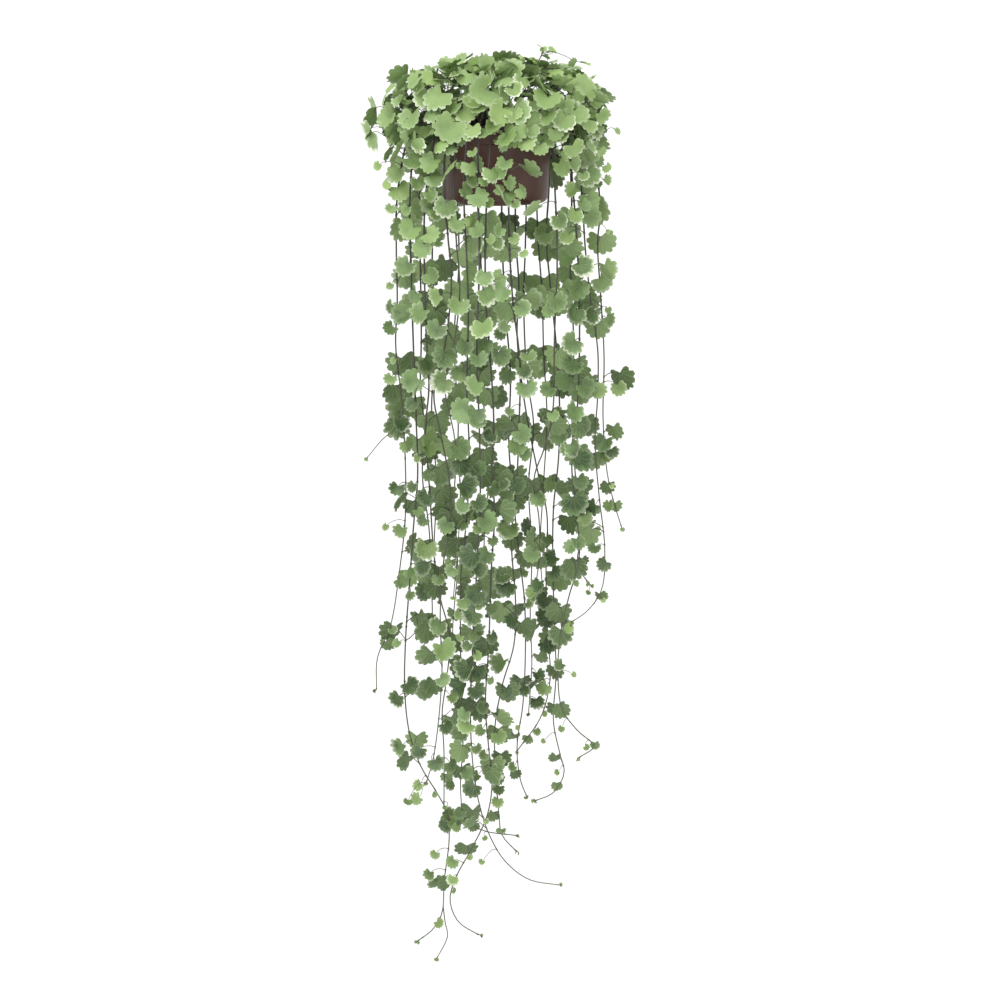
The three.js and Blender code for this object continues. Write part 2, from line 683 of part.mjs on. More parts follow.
function nearestOn(line, x, z) {
  let best = 0;
  let bestGap = Infinity;
  line.dense.forEach((p, i) => {
    if (p.z > moundSkirt && Math.hypot(p.x, p.y) < overSoil) return;
    const gap = Math.hypot(p.x - x, p.z - z);
    if (gap < bestGap) {
      best = i;
      bestGap = gap;
    }
  });
  return { index: best, gap: bestGap };
}

function stemsNear(branches, x, z) {
  const found = [];
  for (const branch of branches) {
    const { index, gap } = nearestOn(branch.line, x, z + nodeAbove);
    if (gap <= stemReach) {
      const run = branch.line.run[index];
      const crowd = branch.taken.filter((taken) => Math.abs(taken - run) < crowdLength).length;
      const depth = branch.line.dense[index].y + moundFront;
      found.push({ branch, run, cost: gap + frontFirst * depth + crowdCost * crowd });
    }
  }
  return found.sort((a, b) => a.cost - b.cost).slice(0, 3);
}

function frontPoses([x, z, width], line, run, draws) {
  const poses = [];
  for (let i = 0; i < depthsTried.length; i += 1) {
    const distance = Math.min(Math.max(run + rootsTried[i], 0), line.length - 1);
    const root = stemPoint(line, distance);
    const middle = new THREE.Vector3(x, root.y + depthsTried[i] - 6 * draws[0], z);
    const off = x - root.x;
    const side = Math.abs(off) < 3 ? Math.sign(draws[1] - 0.5) : Math.sign(off);
    const lean = side * (35 + leansTried[i] + 50 * (draws[2] - 0.5)) * degree;
    const face = new THREE.Vector3(
      0.9 * (draws[3] - 0.5) + 0.3 * side,
      -0.8,
      0.05 + 0.55 * draws[4],
    );
    const wish = new THREE.Vector3(Math.sin(lean), 0, -Math.cos(lean));
    const rootSize = petioleRoot * stemRadiusAt(line, distance);
    const pose = leafAt(root, rootSize, middle, face, wish, width);
    const reach = pose.attach.distanceTo(root);
    if (reach >= petioleLengths[0] && reach <= petioleLengths[1]) poses.push(pose);
  }
  return poses;
}

function placeFrontLeaf(spot, branches, draws) {
  for (const { branch, run } of stemsNear(branches, spot[0], spot[1])) {
    const leaf = placeLeaf(frontPoses(spot, branch.line, run, draws), branch.shoot.name);
    if (leaf) {
      branch.taken.push(run);
      branch.shoot.leaves.push(leaf);
      return;
    }
  }
}

// Back leaves: behind the front ones, so that the gaps between those stay open.
const backTurns = [0, 30, -30, 60, -60, 85, -85];
const behindReach = 22;

function behindFront(point) {
  return frontLeaves.some(([x, z]) => Math.hypot(point.x - x, point.z - z) < behindReach);
}

function backPoses(line, distance, width, draws) {
  const root = stemPoint(line, distance);
  const rootSize = petioleRoot * stemRadiusAt(line, distance);
  const poses = backTurns.map((extra, i) => {
    const angle = (90 + 100 * (draws[0] - 0.5) + extra) * degree;
    const side = new THREE.Vector3(Math.cos(angle), Math.sin(angle), 0);
    const reach = width * (0.4 + 0.3 * draws[1]) + 3;
    const lift = 0.3 + 0.4 * draws[2] - 0.25 * (i % 3);
    const attach = root.clone().addScaledVector(side, reach).addScaledVector(up, reach * lift);
    const face = side.clone().multiplyScalar(0.5 + 0.4 * draws[3]);
    face.add(new THREE.Vector3(0, 0.5, 0.2 + 0.5 * draws[4]));
    const wish = side.clone().multiplyScalar(0.75).addScaledVector(up, -0.7);
    return leafFrom(root, rootSize, attach, face, wish, width);
  });
  return poses.filter((pose) => behindFront(pose.middle));
}

function addBackLeaves(branch, draw) {
  const { line, shoot } = branch;
  let distance = backStart + backStep * draw();
  while (distance < line.length - shortestStep) {
    const draws = [draw(), draw(), draw(), draw(), draw()];
    const width = leafWidthAt(line, distance, draw());
    const leaf = placeLeaf(backPoses(line, distance, width, draws), shoot.name);
    if (leaf) {
      branch.taken.push(distance);
      shoot.leaves.push(leaf);
      distance += backStep * (0.8 + 0.4 * draw());
    } else {
      distance += backStep / 4;
    }
  }
}

// Crown shoots rise from the soil under the mound. Their ends lie inside it, but for the sprig's.
function moundDepth(y) {
  return y < 0 ? moundFront : moundBack;
}

function crownLine(i) {
  const share = (i + 0.5) / crownShoots;
  const turn = i * goldenTurn * degree;
  const rootRadius = 6 + 25 * Math.sqrt(share);
  const tilt = (22 + 60 * (1 - share)) * degree;
  const ground = soilHeight(rootRadius);
  const root = new THREE.Vector3(rootRadius * Math.cos(turn), rootRadius * Math.sin(turn), ground);
  const end = new THREE.Vector3(
    0.6 * moundX * Math.cos(tilt) * Math.cos(turn),
    0.6 * moundDepth(Math.sin(turn)) * Math.cos(tilt) * Math.sin(turn),
    moundLift + 26 + 0.42 * moundTop * Math.sin(tilt),
  );
  if (i === sprigShoot) end.set(...sprigEnd);
  const knee = root.clone().lerp(end, 0.5).addScaledVector(up, 8);
  const rooted = rootHeights(ground).map((z) => root.clone().setZ(z));
  return lineThrough([...rooted, knee, end], rootRun);
}

// Outward from the mound at a spot given in shares of its half widths and height.
function moundOutward(u, v, w) {
  const flat = Math.hypot(u, v) ** (moundPower - 2);
  const rise = Math.sign(w) * Math.abs(w) ** (moundPower - 1);
  return new THREE.Vector3((flat * u) / moundX, (flat * v) / moundDepth(v), rise / moundTop).normalize();
}

function moundPoint(turn, rise) {
  const flat = Math.sqrt(Math.max(1 - rise * rise, 0));
  const k = (flat ** moundPower + Math.abs(rise) ** moundPower) ** (-1 / moundPower);
  const [u, v, w] = [k * flat * Math.cos(turn), k * flat * Math.sin(turn), k * rise];
  const spot = new THREE.Vector3(moundX * u, moundDepth(v) * v, moundLift + moundTop * w);
  return { spot, outward: moundOutward(u, v, w) };
}

// The spot on the front of the mound that is seen at x and z.
function moundFrontAt(x, z) {
  const u = x / moundX;
  const w = (z - moundLift) / moundTop;
  const ring = Math.max(1 - Math.abs(w) ** moundPower, 0) ** (1 / moundPower);
  const v = -Math.sqrt(Math.max(ring * ring - u * u, 0));
  return {
    spot: new THREE.Vector3(x, moundFront * v, z),
    outward: moundOutward(u, Math.min(v, -0.15), w),
  };
}

const stepsTried = [0, -6, 5, -11, 9, -16, 3, -3];
const yawsTried = [0, 22, -22, 45, -45, 12, 70, -70];
const nearlyLevel = 0.97;

// Poses at one seat on the mound, from each of the three nearest nodes that have room for a leaf.
function crownPoses({ spot, outward }, width, draws, carriers) {
  const down = outward.clone().multiplyScalar(outward.z).sub(up).normalize();
  if (outward.z > nearlyLevel) down.set(Math.cos(spot.x), Math.sin(spot.x), 0);
  const poses = [];
  const near = carriers
    .filter((carrier) => carrier.leaves < leavesPerNode)
    .map((carrier) => ({ carrier, far: carrier.point.distanceTo(spot) }))
    .sort((a, b) => a.far - b.far)
    .slice(0, 3);
  for (const { carrier } of near) {
    stepsTried.forEach((step, k) => {
      const yaw = (yawsTried[k] + 70 * (draws[1] - 0.5)) * degree;
      const slope = (50 * draws[2] - 8) * degree;
      const roll = 56 * (draws[3] - 0.5) * degree;
      const wish = down.clone().applyAxisAngle(outward, yaw);
      const along = wish.clone().multiplyScalar(Math.cos(slope));
      along.addScaledVector(outward, Math.sin(slope));
      const face = outward.clone().multiplyScalar(Math.cos(slope));
      face.addScaledVector(wish, -Math.sin(slope)).applyAxisAngle(along, roll);
      const middle = spot.clone().addScaledVector(outward, step + 6 * (draws[4] - 0.5));
      const pose = leafAt(carrier.point, carrier.size, middle, face, along, width);
      const run = pose.attach.clone().sub(carrier.point);
      const reach = run.length();
      if (reach < crownPetioles[0] || reach > crownPetioles[1]) return;
      if (run.dot(along) >= -0.3 * reach) poses.push({ ...pose, carrier });
    });
  }
  return poses;
}

function placeCrownLeaf(poses) {
  for (const pose of poses) {
    const leaf = placeLeaf([pose], pose.carrier.shoot.name);
    if (leaf) {
      leaf.carrier.leaves += 1;
      leaf.carrier.shoot.leaves.push(leaf);
      return;
    }
  }
}

// Nodes that can carry crown leaves: on the trailing stems near the rim and up the crown shoots.
const nodeStep = 13;
const firstNode = 34;
const lowestNode = -38;
const crownNodes = [0.6, 0.74, 0.87, 0.98];

function crownCarriers(shoots) {
  return shoots.flatMap((shoot) => {
    const { line } = shoot;
    const marks = shoot.trailing ? [] : crownNodes.map((share) => share * line.length);
    for (let d = firstNode; shoot.trailing && pointAt(line, d).z >= lowestNode; d += nodeStep) {
      const point = pointAt(line, d);
      if (Math.hypot(point.x, point.y) > overSoil) marks.push(d);
    }
    return marks.map((d) => (
      { shoot, point: stemPoint(line, d), size: petioleRoot * stemRadiusAt(line, d), leaves: 0 }));
  });
}

// Everything is laid out first: stems, then crown leaves, then the leaves down each stem.
function fiveDraws(draw) {
  return [draw(), draw(), draw(), draw(), draw()];
}

function growCrown(shoots) {
  const draw = seeded(4207);
  const carriers = crownCarriers(shoots);
  for (const [x, z, width] of frontLeaves.filter((leaf) => leaf[1] > moundSkirt)) {
    placeCrownLeaf(crownPoses(moundFrontAt(x, z), width * 1.08, fiveDraws(draw), carriers));
  }
  for (let i = 0; i < crownLeaves; i += 1) {
    const draws = fiveDraws(draw);
    const rise = 1 - 1.3 * ((i + 0.5) / crownLeaves) ** 1.5;
    const seat = moundPoint(i * goldenTurn * degree, rise);
    const width = wideLeaf * (0.66 + 0.4 * draws[0]);
    if (seat.spot.y > behindMiddle || rise > crownTop) {
      placeCrownLeaf(crownPoses(seat, width, draws, carriers));
    }
  }
}

function growTrails(branches) {
  const draw = seeded(615);
  for (const spot of frontLeaves.filter((leaf) => leaf[1] <= moundSkirt)) {
    placeFrontLeaf(spot, branches, fiveDraws(draw));
  }
  for (const branch of branches.filter((one) => !one.twig)) addBackLeaves(branch, draw);
}

const shoots = trails.map((trail, order) => {
  const line = trailLine(trail, order);
  const twigs = (trail.twigs || []).map((twig) => twigLine(twig, trail, line));
  line.radii = [stemRadius, tipRadius];
  twigs.forEach((twig) => { twig.radii = twigRadii; });
  return { name: `stem_${trail.name}`, line, twigs, leaves: [], trailing: true };
});
for (let i = 0; i < crownShoots; i += 1) {
  const line = crownLine(i);
  line.radii = [stemRadius, crownTipRadius];
  shoots.push({ name: `crown_shoot_${i + 1}`, line, twigs: [], leaves: [], trailing: false });
}
for (const shoot of shoots) {
  for (const line of [shoot.line, ...shoot.twigs]) addRods(line, shoot.name);
}
growCrown(shoots);
growTrails(shoots.filter((shoot) => shoot.trailing).flatMap((shoot) => (
  [shoot.line, ...shoot.twigs].map((line, k) => ({ shoot, line, taken: [], twig: k > 0 })))));

// Materials
const potPlastic = new THREE.MeshStandardMaterial({ color: 0x4a2f29, roughness: 0.55, metalness: 0 });
const soilBrown = new THREE.MeshStandardMaterial({ color: 0x2e221a, roughness: 1, metalness: 0 });
const leafGreen = new THREE.MeshStandardMaterial({ color: 0x6f8a54, roughness: 0.6, metalness: 0 });
const crownGreen = new THREE.MeshStandardMaterial({ color: 0x93a86c, roughness: 0.6, metalness: 0 });

// The plant in its pot
const plant = new THREE.Group();
plant.add(meshNamed('pot', geometryOf(potSolid()), potPlastic));

let soil = solidOf(soilBlock());
shoots.forEach((shoot) => {
  const { x, y } = shoot.line.dense[0];
  soil = soil.subtract(solidOf(rootHole(x, y)));
});
plant.add(meshNamed('soil', geometryOf(soil), soilBrown));

shoots.forEach((shoot) => {
  let body = solidOf(stemTube(shoot.line));
  shoot.twigs.forEach((twig) => {
    body = body.add(solidOf(stemTube(twig)));
  });
  shoot.leaves.forEach((leaf) => { body = body.add(leafSolid(leaf)); });
  const material = shoot.trailing ? leafGreen : crownGreen;
  plant.add(meshNamed(shoot.name, geometryOf(largestBody(body)), material));
});

export default plant;
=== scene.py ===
# Variegated ground ivy in a hanging plastic pot: the fine plant, dressed over the CAD frame.
import bpy
import bmesh
import json
import math
import numpy as np
from mathutils import Matrix, Vector

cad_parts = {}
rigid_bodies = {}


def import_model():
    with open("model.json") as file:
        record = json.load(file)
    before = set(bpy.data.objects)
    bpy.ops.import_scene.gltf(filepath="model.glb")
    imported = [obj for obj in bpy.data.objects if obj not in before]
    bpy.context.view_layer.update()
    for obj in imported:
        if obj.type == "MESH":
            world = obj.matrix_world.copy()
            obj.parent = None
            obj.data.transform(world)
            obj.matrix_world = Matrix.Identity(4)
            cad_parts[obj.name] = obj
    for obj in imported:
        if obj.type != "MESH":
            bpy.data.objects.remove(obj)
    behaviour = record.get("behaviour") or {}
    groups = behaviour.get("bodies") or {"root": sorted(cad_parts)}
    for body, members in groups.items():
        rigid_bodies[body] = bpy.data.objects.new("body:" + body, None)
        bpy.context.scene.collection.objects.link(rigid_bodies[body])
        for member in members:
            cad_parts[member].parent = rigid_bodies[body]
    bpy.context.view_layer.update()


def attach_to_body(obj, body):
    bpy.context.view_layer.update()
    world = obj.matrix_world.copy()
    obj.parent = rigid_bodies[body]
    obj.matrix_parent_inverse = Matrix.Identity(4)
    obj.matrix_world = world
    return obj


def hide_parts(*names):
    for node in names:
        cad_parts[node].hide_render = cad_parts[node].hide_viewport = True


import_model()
mm = 0.001
degree = math.pi / 180
up = np.array([0.0, 0.0, 1.0])

# Sizes in millimetres, the same as in the solid model.
potSize = {
    "rimRadius": 70, "rimHeight": 22, "bodyTop": 66, "bodyLow": 62.5, "depth": 74,
    "foot": 8, "wall": 2.2, "recess": 44, "recessDepth": 1.5,
    "drainRadius": 2, "drainCircle": 34, "drainCount": 6,
}
soilSize = {"gap": 0.3, "top": 10, "crown": 5, "rootDepth": 20, "rootRun": 21.5}
stemSize = {
    "radius": 1.6, "tip": 0.85, "crownTip": 0.4, "petiole": 0.75,
    "rootCircles": (53, 42), "rimCrossing": [(60, 30), (75, 28)], "overSoil": 57,
    "curveSteps": 12, "longest": 100, "shortest": 6, "bend": 0.42,
}
leafSize = {
    "first": 70, "step": 185, "wide": 31, "cup": 0.07, "attachBack": 0.2, "golden": 137.5,
    "youngEnd": 170, "youngLeast": 0.45, "widthLoss": 0.0002,
    "petioles": (4, 48), "crownPetioles": (7, 62), "stemReach": 42, "behind": 22,
    "clearWanted": 2.6, "clearLeast": 1.3, "ownEase": 1.2, "farEnough": 8.0,    # mm between leaves
    "seed": 615,
}
moundSize = {
    "x": 134, "front": 92, "back": 104, "top": 84, "lift": 8, "power": 3.2, "shoots": 12,
    "leaves": 76, "perNode": 3, "skirt": -20, "flatFrom": 0.88, "widen": 1.08,
    "holdFirst": 34, "holdStep": 13, "holdLowest": -38, "holdShares": (0.6, 0.74, 0.87, 0.98),
    "sprig": 5, "sprigEnd": (57.0, -12.0, 106.0), "seed": 4207,
}

# Leaves that show from the front, read off the photo: x, z and width, top to bottom.
# The solid model has those of the first list, and the fine plant those of the second as well.
frontLeaves = [
    (53, 112, 8), (62, 104, 7), (-13, 95, 10), (34, 95, 10), (105, 91, 14), (-34, 81, 19),
    (9, 76, 19), (-92, 70, 22), (129, 68, 13), (101, 63, 29), (-124, 63, 14), (-15, 61, 31),
    (-68, 57, 29), (61, 52, 26), (4, 41, 26), (94, 35, 24), (43, 33, 22), (-97, 31, 24),
    (124, 31, 17), (-127, 29, 22), (-53, 22, 31), (22, 19, 22), (-26, 19, 17), (71, 14, 16),
    (146, 11, 10), (-139, 5, 31), (-91, 3, 22), (107, -3, 22), (-26, -8, 11), (75, -11, 17),
    (-97, -22, 24), (-23, -22, 19), (77, -27, 22), (7, -29, 17), (-139, -29, 11), (110, -38, 26),
    (41, -38, 19), (-73, -39, 19), (17, -58, 12), (-113, -59, 24), (-21, -59, 22), (-59, -71, 24),
    (43, -71, 11), (113, -89, 24), (77, -89, 22), (-22, -98, 17), (-100, -104, 23), (133, -109, 6),
    (1, -115, 16), (57, -116, 22), (86, -143, 20), (-106, -146, 24), (-28, -149, 23),
    (-77, -155, 18), (128, -169, 23), (99, -172, 26), (-11, -175, 26), (-43, -189, 22),
    (31, -193, 19), (-125, -197, 17), (63, -197, 16), (94, -201, 25), (-88, -201, 24),
    (-15, -214, 26), (134, -215, 17), (91, -238, 24), (-59, -249, 26), (5, -249, 23),
    (39, -251, 17), (91, -266, 24), (-63, -280, 25), (-23, -283, 22), (-125, -283, 14),
    (-97, -284, 25), (14, -286, 22), (105, -292, 22), (63, -292, 17), (147, -297, 18),
    (-37, -315, 28), (17, -317, 10), (68, -323, 13), (103, -337, 26), (-113, -337, 19),
    (31, -343, 23), (-7, -345, 16), (-80, -349, 22), (76, -357, 22), (-43, -361, 24),
    (130, -363, 22), (101, -379, 25), (-20, -383, 17), (-80, -393, 14), (-38, -406, 28),
    (-117, -415, 17), (14, -418, 22), (-83, -421, 19), (51, -421, 19), (94, -429, 29),
    (136, -439, 14), (-11, -446, 24), (-59, -452, 18), (14, -461, 23), (-112, -466, 16),
    (99, -477, 17), (-83, -483, 24), (-28, -489, 28), (43, -489, 18), (68, -506, 20),
    (130, -506, 16), (-52, -506, 14), (-86, -526, 25), (95, -526, 10), (14, -530, 24),
    (-23, -535, 23), (43, -537, 13), (129, -550, 6), (20, -572, 18), (-68, -575, 20),
    (63, -580, 25), (-3, -589, 16), (-32, -598, 14), (-117, -601, 11), (-63, -603, 26),
    (62, -614, 20), (8, -626, 24), (-34, -628, 25), (93, -638, 7), (-63, -640, 16),
    (-103, -652, 20), (32, -663, 18), (3, -688, 11), (-35, -695, 20), (79, -704, 8), (3, -716, 17),
    (50, -716, 10), (109, -727, 7), (-113, -729, 20), (-52, -746, 19), (75, -765, 7), (5, -767, 16),
    (-28, -770, 20), (-94, -785, 14), (2, -797, 13), (-43, -805, 14), (-11, -811, 7),
    (-62, -825, 17), (-13, -836, 6), (-73, -860, 11), (-31, -862, 7), (-52, -868, 14),
    (-79, -886, 14), (-52, -889, 13), (-69, -945, 11),
]
fineLeaves = [
    (57, 108, 9), (66, 99, 10), (49, 101, 8), (60, 92, 9),
    (-4, -31, 20), (29, -60, 21), (-36, -53, 18), (15, -44, 17), (-30, -24, 18), (36, -27, 18),
    (-29, 98, 10), (2, 98, 10), (20, 93, 12), (-43, 89, 17), (92, 89, 11), (-53, 85, 14),
    (-15, 85, 17), (121, 79, 11), (-51, 79, 19), (-77, 76, 19), (31, 76, 17), (83, 74, 22),
    (-109, 70, 17), (52, 70, 22), (22, 63, 17), (118, 52, 24), (-135, 50, 14), (77, 49, 22),
    (-111, 49, 17), (-28, 49, 19), (131, 40, 14), (-37, 40, 22), (26, 40, 26), (-77, 38, 19),
    (62, 33, 19), (80, 29, 22), (107, 25, 22), (-7, 19, 26), (137, 19, 17), (-149, 11, 17),
    (13, 8, 22), (37, 5, 18), (-67, 1, 17), (52, -3, 16), (91, -5, 22), (-128, -11, 22),
    (124, -11, 11), (-75, -22, 24), (-41, -22, 10), (22, -22, 17), (92, -25, 19), (122, -25, 14),
    (133, -33, 11), (-116, -38, 22), (-13, -39, 14), (-28, -41, 16), (-92, -46, 17), (131, -49, 12),
    (-130, -50, 12), (4, -50, 12), (31, -52, 17), (121, -52, 12), (92, -57, 17), (-77, -59, 17),
    (9, -63, 12), (-8, -68, 12), (112, -68, 22), (23, -69, 11), (103, -74, 17), (-105, -79, 14),
    (-70, -80, 19), (-124, -80, 12), (94, -85, 19), (-29, -87, 14), (-47, -91, 19), (5, -99, 16),
    (-77, -107, 20), (22, -110, 12), (86, -112, 17), (43, -118, 12), (-88, -121, 22),
    (103, -147, 24), (-14, -153, 20), (5, -155, 16), (-125, -172, 10), (9, -172, 23),
    (-97, -181, 20), (-68, -181, 19), (71, -187, 24), (-109, -206, 24), (113, -207, 19),
    (55, -212, 14), (11, -215, 14), (-69, -218, 22), (-125, -223, 16), (-14, -235, 24),
    (-37, -237, 20), (-20, -251, 19), (-83, -260, 22), (34, -268, 18), (-43, -272, 19),
    (37, -289, 22), (85, -291, 24), (122, -297, 19), (-99, -311, 17), (94, -320, 24),
    (-22, -326, 19), (25, -359, 20), (-105, -361, 17), (-80, -363, 19), (93, -363, 22),
    (-86, -375, 17), (131, -376, 18), (-40, -379, 23), (8, -404, 14), (99, -404, 20),
    (26, -407, 18), (-3, -410, 18), (-98, -411, 14), (65, -415, 18), (139, -415, 7), (32, -421, 19),
    (-68, -423, 17), (-20, -424, 19), (-40, -427, 19), (116, -437, 19), (-92, -441, 12),
    (107, -449, 16), (-86, -449, 14), (-38, -453, 13), (-55, -461, 18), (-3, -472, 11),
    (39, -472, 22), (91, -483, 17), (63, -484, 13), (119, -487, 14), (-11, -489, 19),
    (-86, -506, 22), (-20, -506, 17), (-103, -514, 13), (-68, -518, 14), (71, -523, 17),
    (-113, -526, 16), (51, -526, 17), (111, -537, 6), (-86, -545, 20), (112, -547, 6),
    (-3, -553, 16), (-45, -560, 14), (-28, -560, 23), (-15, -560, 17), (59, -560, 20),
    (40, -561, 11), (-80, -578, 13), (88, -584, 12), (-123, -586, 10), (-91, -586, 11),
    (-23, -586, 13), (-17, -607, 17), (77, -626, 14), (-22, -629, 19), (-5, -643, 10),
    (-40, -649, 24), (-23, -651, 19), (51, -651, 16), (14, -661, 17), (59, -663, 17),
    (-52, -663, 14), (53, -667, 14), (-117, -669, 19), (-15, -677, 14), (-37, -680, 16),
    (50, -683, 16), (59, -695, 7), (-58, -697, 17), (-17, -704, 13), (-43, -707, 19), (27, -710, 6),
    (-22, -723, 13), (-92, -727, 17), (58, -727, 6), (-14, -734, 12), (-71, -742, 18),
    (-75, -745, 7), (-34, -757, 16), (21, -757, 11), (-53, -770, 13), (-92, -775, 13),
    (-58, -815, 16), (-52, -819, 13), (-16, -862, 7), (-50, -903, 7),
]

# The hanging stems: points [x, z] in millimetres, and their y at the rim and at the tip.
trails = [
    ("left_outer", (-8, -20),
     [(-100, 8), (-116, -60), (-118, -130), (-117, -190), (-119, -245), (-112, -310), (-108, -380),
      (-108, -450), (-115, -515), (-126, -582), (-142, -622), (-143, -660)],
     [[(-113, -322), (-122, -346), (-134, -356), (-154, -380)]]),
    ("left_long", (-38, -14),
     [(-92, 4), (-101, -60), (-100, -156), (-98, -230), (-95, -320), (-93, -402), (-98, -460),
      (-103, -530), (-108, -600), (-109, -665), (-103, -716), (-90, -754), (-70, -788), (-58, -812),
      (-56, -844), (-62, -895), (-65, -936), (-76, -956), (-95, -971)],
     [[(-108, -600), (-98, -592), (-93, -582), (-96, -568)],
      [(-64, -928), (-61, -948), (-58, -964), (-71, -992)]]),
    ("left_rear", (32, 10),
     [(-80, 6), (-91, -70), (-90, -150), (-89, -240), (-90, -300), (-85, -350), (-88, -405),
      (-80, -470), (-77, -540), (-78, -590), (-92, -622)], []),
    ("left_front", (-56, -34),
     [(-72, 4), (-83, -70), (-84, -150), (-82, -230), (-79, -290), (-83, -340), (-78, -420),
      (-74, -486), (-66, -545), (-55, -590), (-58, -640), (-64, -684), (-62, -730), (-62, -800)], []),
    ("front_left", (-64, -50),
     [(-58, 2), (-60, -60), (-56, -110), (-52, -165), (-60, -240), (-73, -296), (-65, -345),
      (-55, -400), (-54, -450), (-62, -500), (-66, -565), (-64, -630), (-68, -690), (-75, -740),
      (-83, -768)], []),
    ("front_inner_left", (-74, -62),
     [(-46, 2), (-49, -60), (-46, -115), (-42, -170), (-48, -230), (-60, -284), (-49, -345),
      (-42, -405), (-44, -470), (-50, -540)], []),
    ("front_third", (-80, -34),
     [(-34, 2), (-37, -60), (-34, -130), (-32, -204), (-34, -290), (-31, -370), (-34, -444),
      (-41, -510), (-42, -576), (-41, -645), (-39, -720), (-42, -780), (-36, -816), (-14, -830),
      (25, -836)], []),
    ("front_fourth", (-84, -52),
     [(-20, 2), (-20, -60), (-19, -144), (-22, -240), (-19, -340), (-18, -420), (-22, -500),
      (-27, -600), (-30, -680), (-27, -745), (-19, -795), (-7, -832), (12, -864), (40, -886),
      (76, -893)], []),
    ("front_heavy", (-84, -20),
     [(-6, 2), (-10, -60), (-12, -120), (-11, -190), (-6, -255), (-2, -330), (-4, -390),
      (-1, -440), (-5, -510), (-8, -600), (-12, -675), (-8, -730), (-4, -770), (-10, -812),
      (-28, -852), (-48, -890), (-55, -918), (-45, -945), (-20, -962)], []),
    ("front_right", (-80, -2),
     [(10, 2), (15, -60), (17, -130), (21, -190), (29, -260), (28, -336), (25, -410), (19, -475),
      (24, -550), (22, -605), (8, -655), (-1, -710), (1, -770), (4, -815), (8, -842), (26, -863)], []),
    ("right_short", (-50, -42),
     [(66, 2), (71, -70), (73, -145), (70, -230), (68, -320), (58, -364), (46, -400), (52, -450),
      (52, -500), (45, -545)], []),
    ("right_front", (-32, -28),
     [(84, 4), (93, -70), (98, -140), (100, -220), (98, -310), (91, -385), (97, -445),
      (100, -500), (88, -545), (78, -590), (75, -640), (80, -682), (98, -708), (118, -728),
      (100, -742)], []),
    ("right_outer", (-10, -16),
     [(94, 6), (103, -70), (107, -130), (114, -195), (122, -250), (122, -305), (119, -360),
      (124, -425), (131, -490), (127, -540), (110, -565), (92, -578)], []),
    ("right_edge", (14, 8),
     [(98, 10), (117, -30), (125, -80), (122, -125), (126, -190), (130, -260), (129, -335),
      (134, -400), (142, -436), (152, -468)], []),
    ("right_rear", (40, 24),
     [(84, 4), (91, -70), (90, -160), (94, -250), (92, -340), (97, -415), (104, -475),
      (99, -515), (114, -540)], []),
    ("rear_right", (52, 8),
     [(62, 2), (64, -60), (61, -120), (66, -180), (73, -250), (77, -320), (76, -385),
      (70, -445), (69, -510), (71, -580), (73, -650), (70, -705), (78, -745), (83, -768),
      (70, -792), (48, -802)], []),
    ("rear_second", (64, 42),
     [(47, 2), (49, -60), (51, -120), (56, -190), (58, -260), (62, -340), (58, -420),
      (54, -500), (58, -560)], []),
    ("rear_third", (72, 36),
     [(34, 2), (37, -60), (36, -130), (34, -200), (38, -290), (46, -350), (40, -420),
      (44, -500), (42, -580), (44, -640), (40, -700)], []),
    ("rear_fourth", (77, 14),
     [(22, 2), (24, -60), (24, -120), (28, -180), (26, -240), (32, -300), (40, -350),
      (50, -400), (62, -455), (61, -530), (63, -600), (66, -655), (55, -700), (26, -742)], []),
    ("rear_middle", (82, 2),
     [(4, 2), (7, -60), (8, -130), (12, -210), (18, -290), (16, -370), (22, -440), (28, -500),
      (35, -560), (36, -625), (33, -685), (26, -735), (30, -775), (38, -796)], []),
    ("rear_left", (80, 50),
     [(-20, 2), (-22, -60), (-18, -150), (-11, -240), (-14, -330), (-9, -420), (-14, -500),
      (-10, -580)], []),
    ("rear_outer_left", (70, 44),
     [(-42, 2), (-46, -60), (-44, -150), (-50, -250), (-45, -350), (-50, -440), (-46, -520),
      (-52, -600), (-48, -680)], []),
    ("rear_far_left", (56, 30),
     [(-66, 4), (-73, -70), (-76, -150), (-72, -240), (-77, -330), (-71, -420), (-74, -500),
      (-68, -560)], []),
]


def unit(v):
    return v / math.sqrt(v @ v)


def length(v):
    return math.sqrt(v @ v)


def seeded(seed):
    # a small repeatable draw between 0 and 1, the same one as in the solid model
    state = [seed & 0xFFFFFFFF]

    def imul(a, b):
        return (a * b) & 0xFFFFFFFF

    def draw():
        state[0] = (state[0] + 0x6D2B79F5) & 0xFFFFFFFF
        mixed = imul(state[0] ^ (state[0] >> 15), state[0] | 1)
        mixed ^= (mixed + imul(mixed ^ (mixed >> 7), mixed | 61)) & 0xFFFFFFFF
        return (mixed ^ (mixed >> 14)) / 4294967296

    return draw


def fiveDraws(draw):
    return [draw() for k in range(5)]


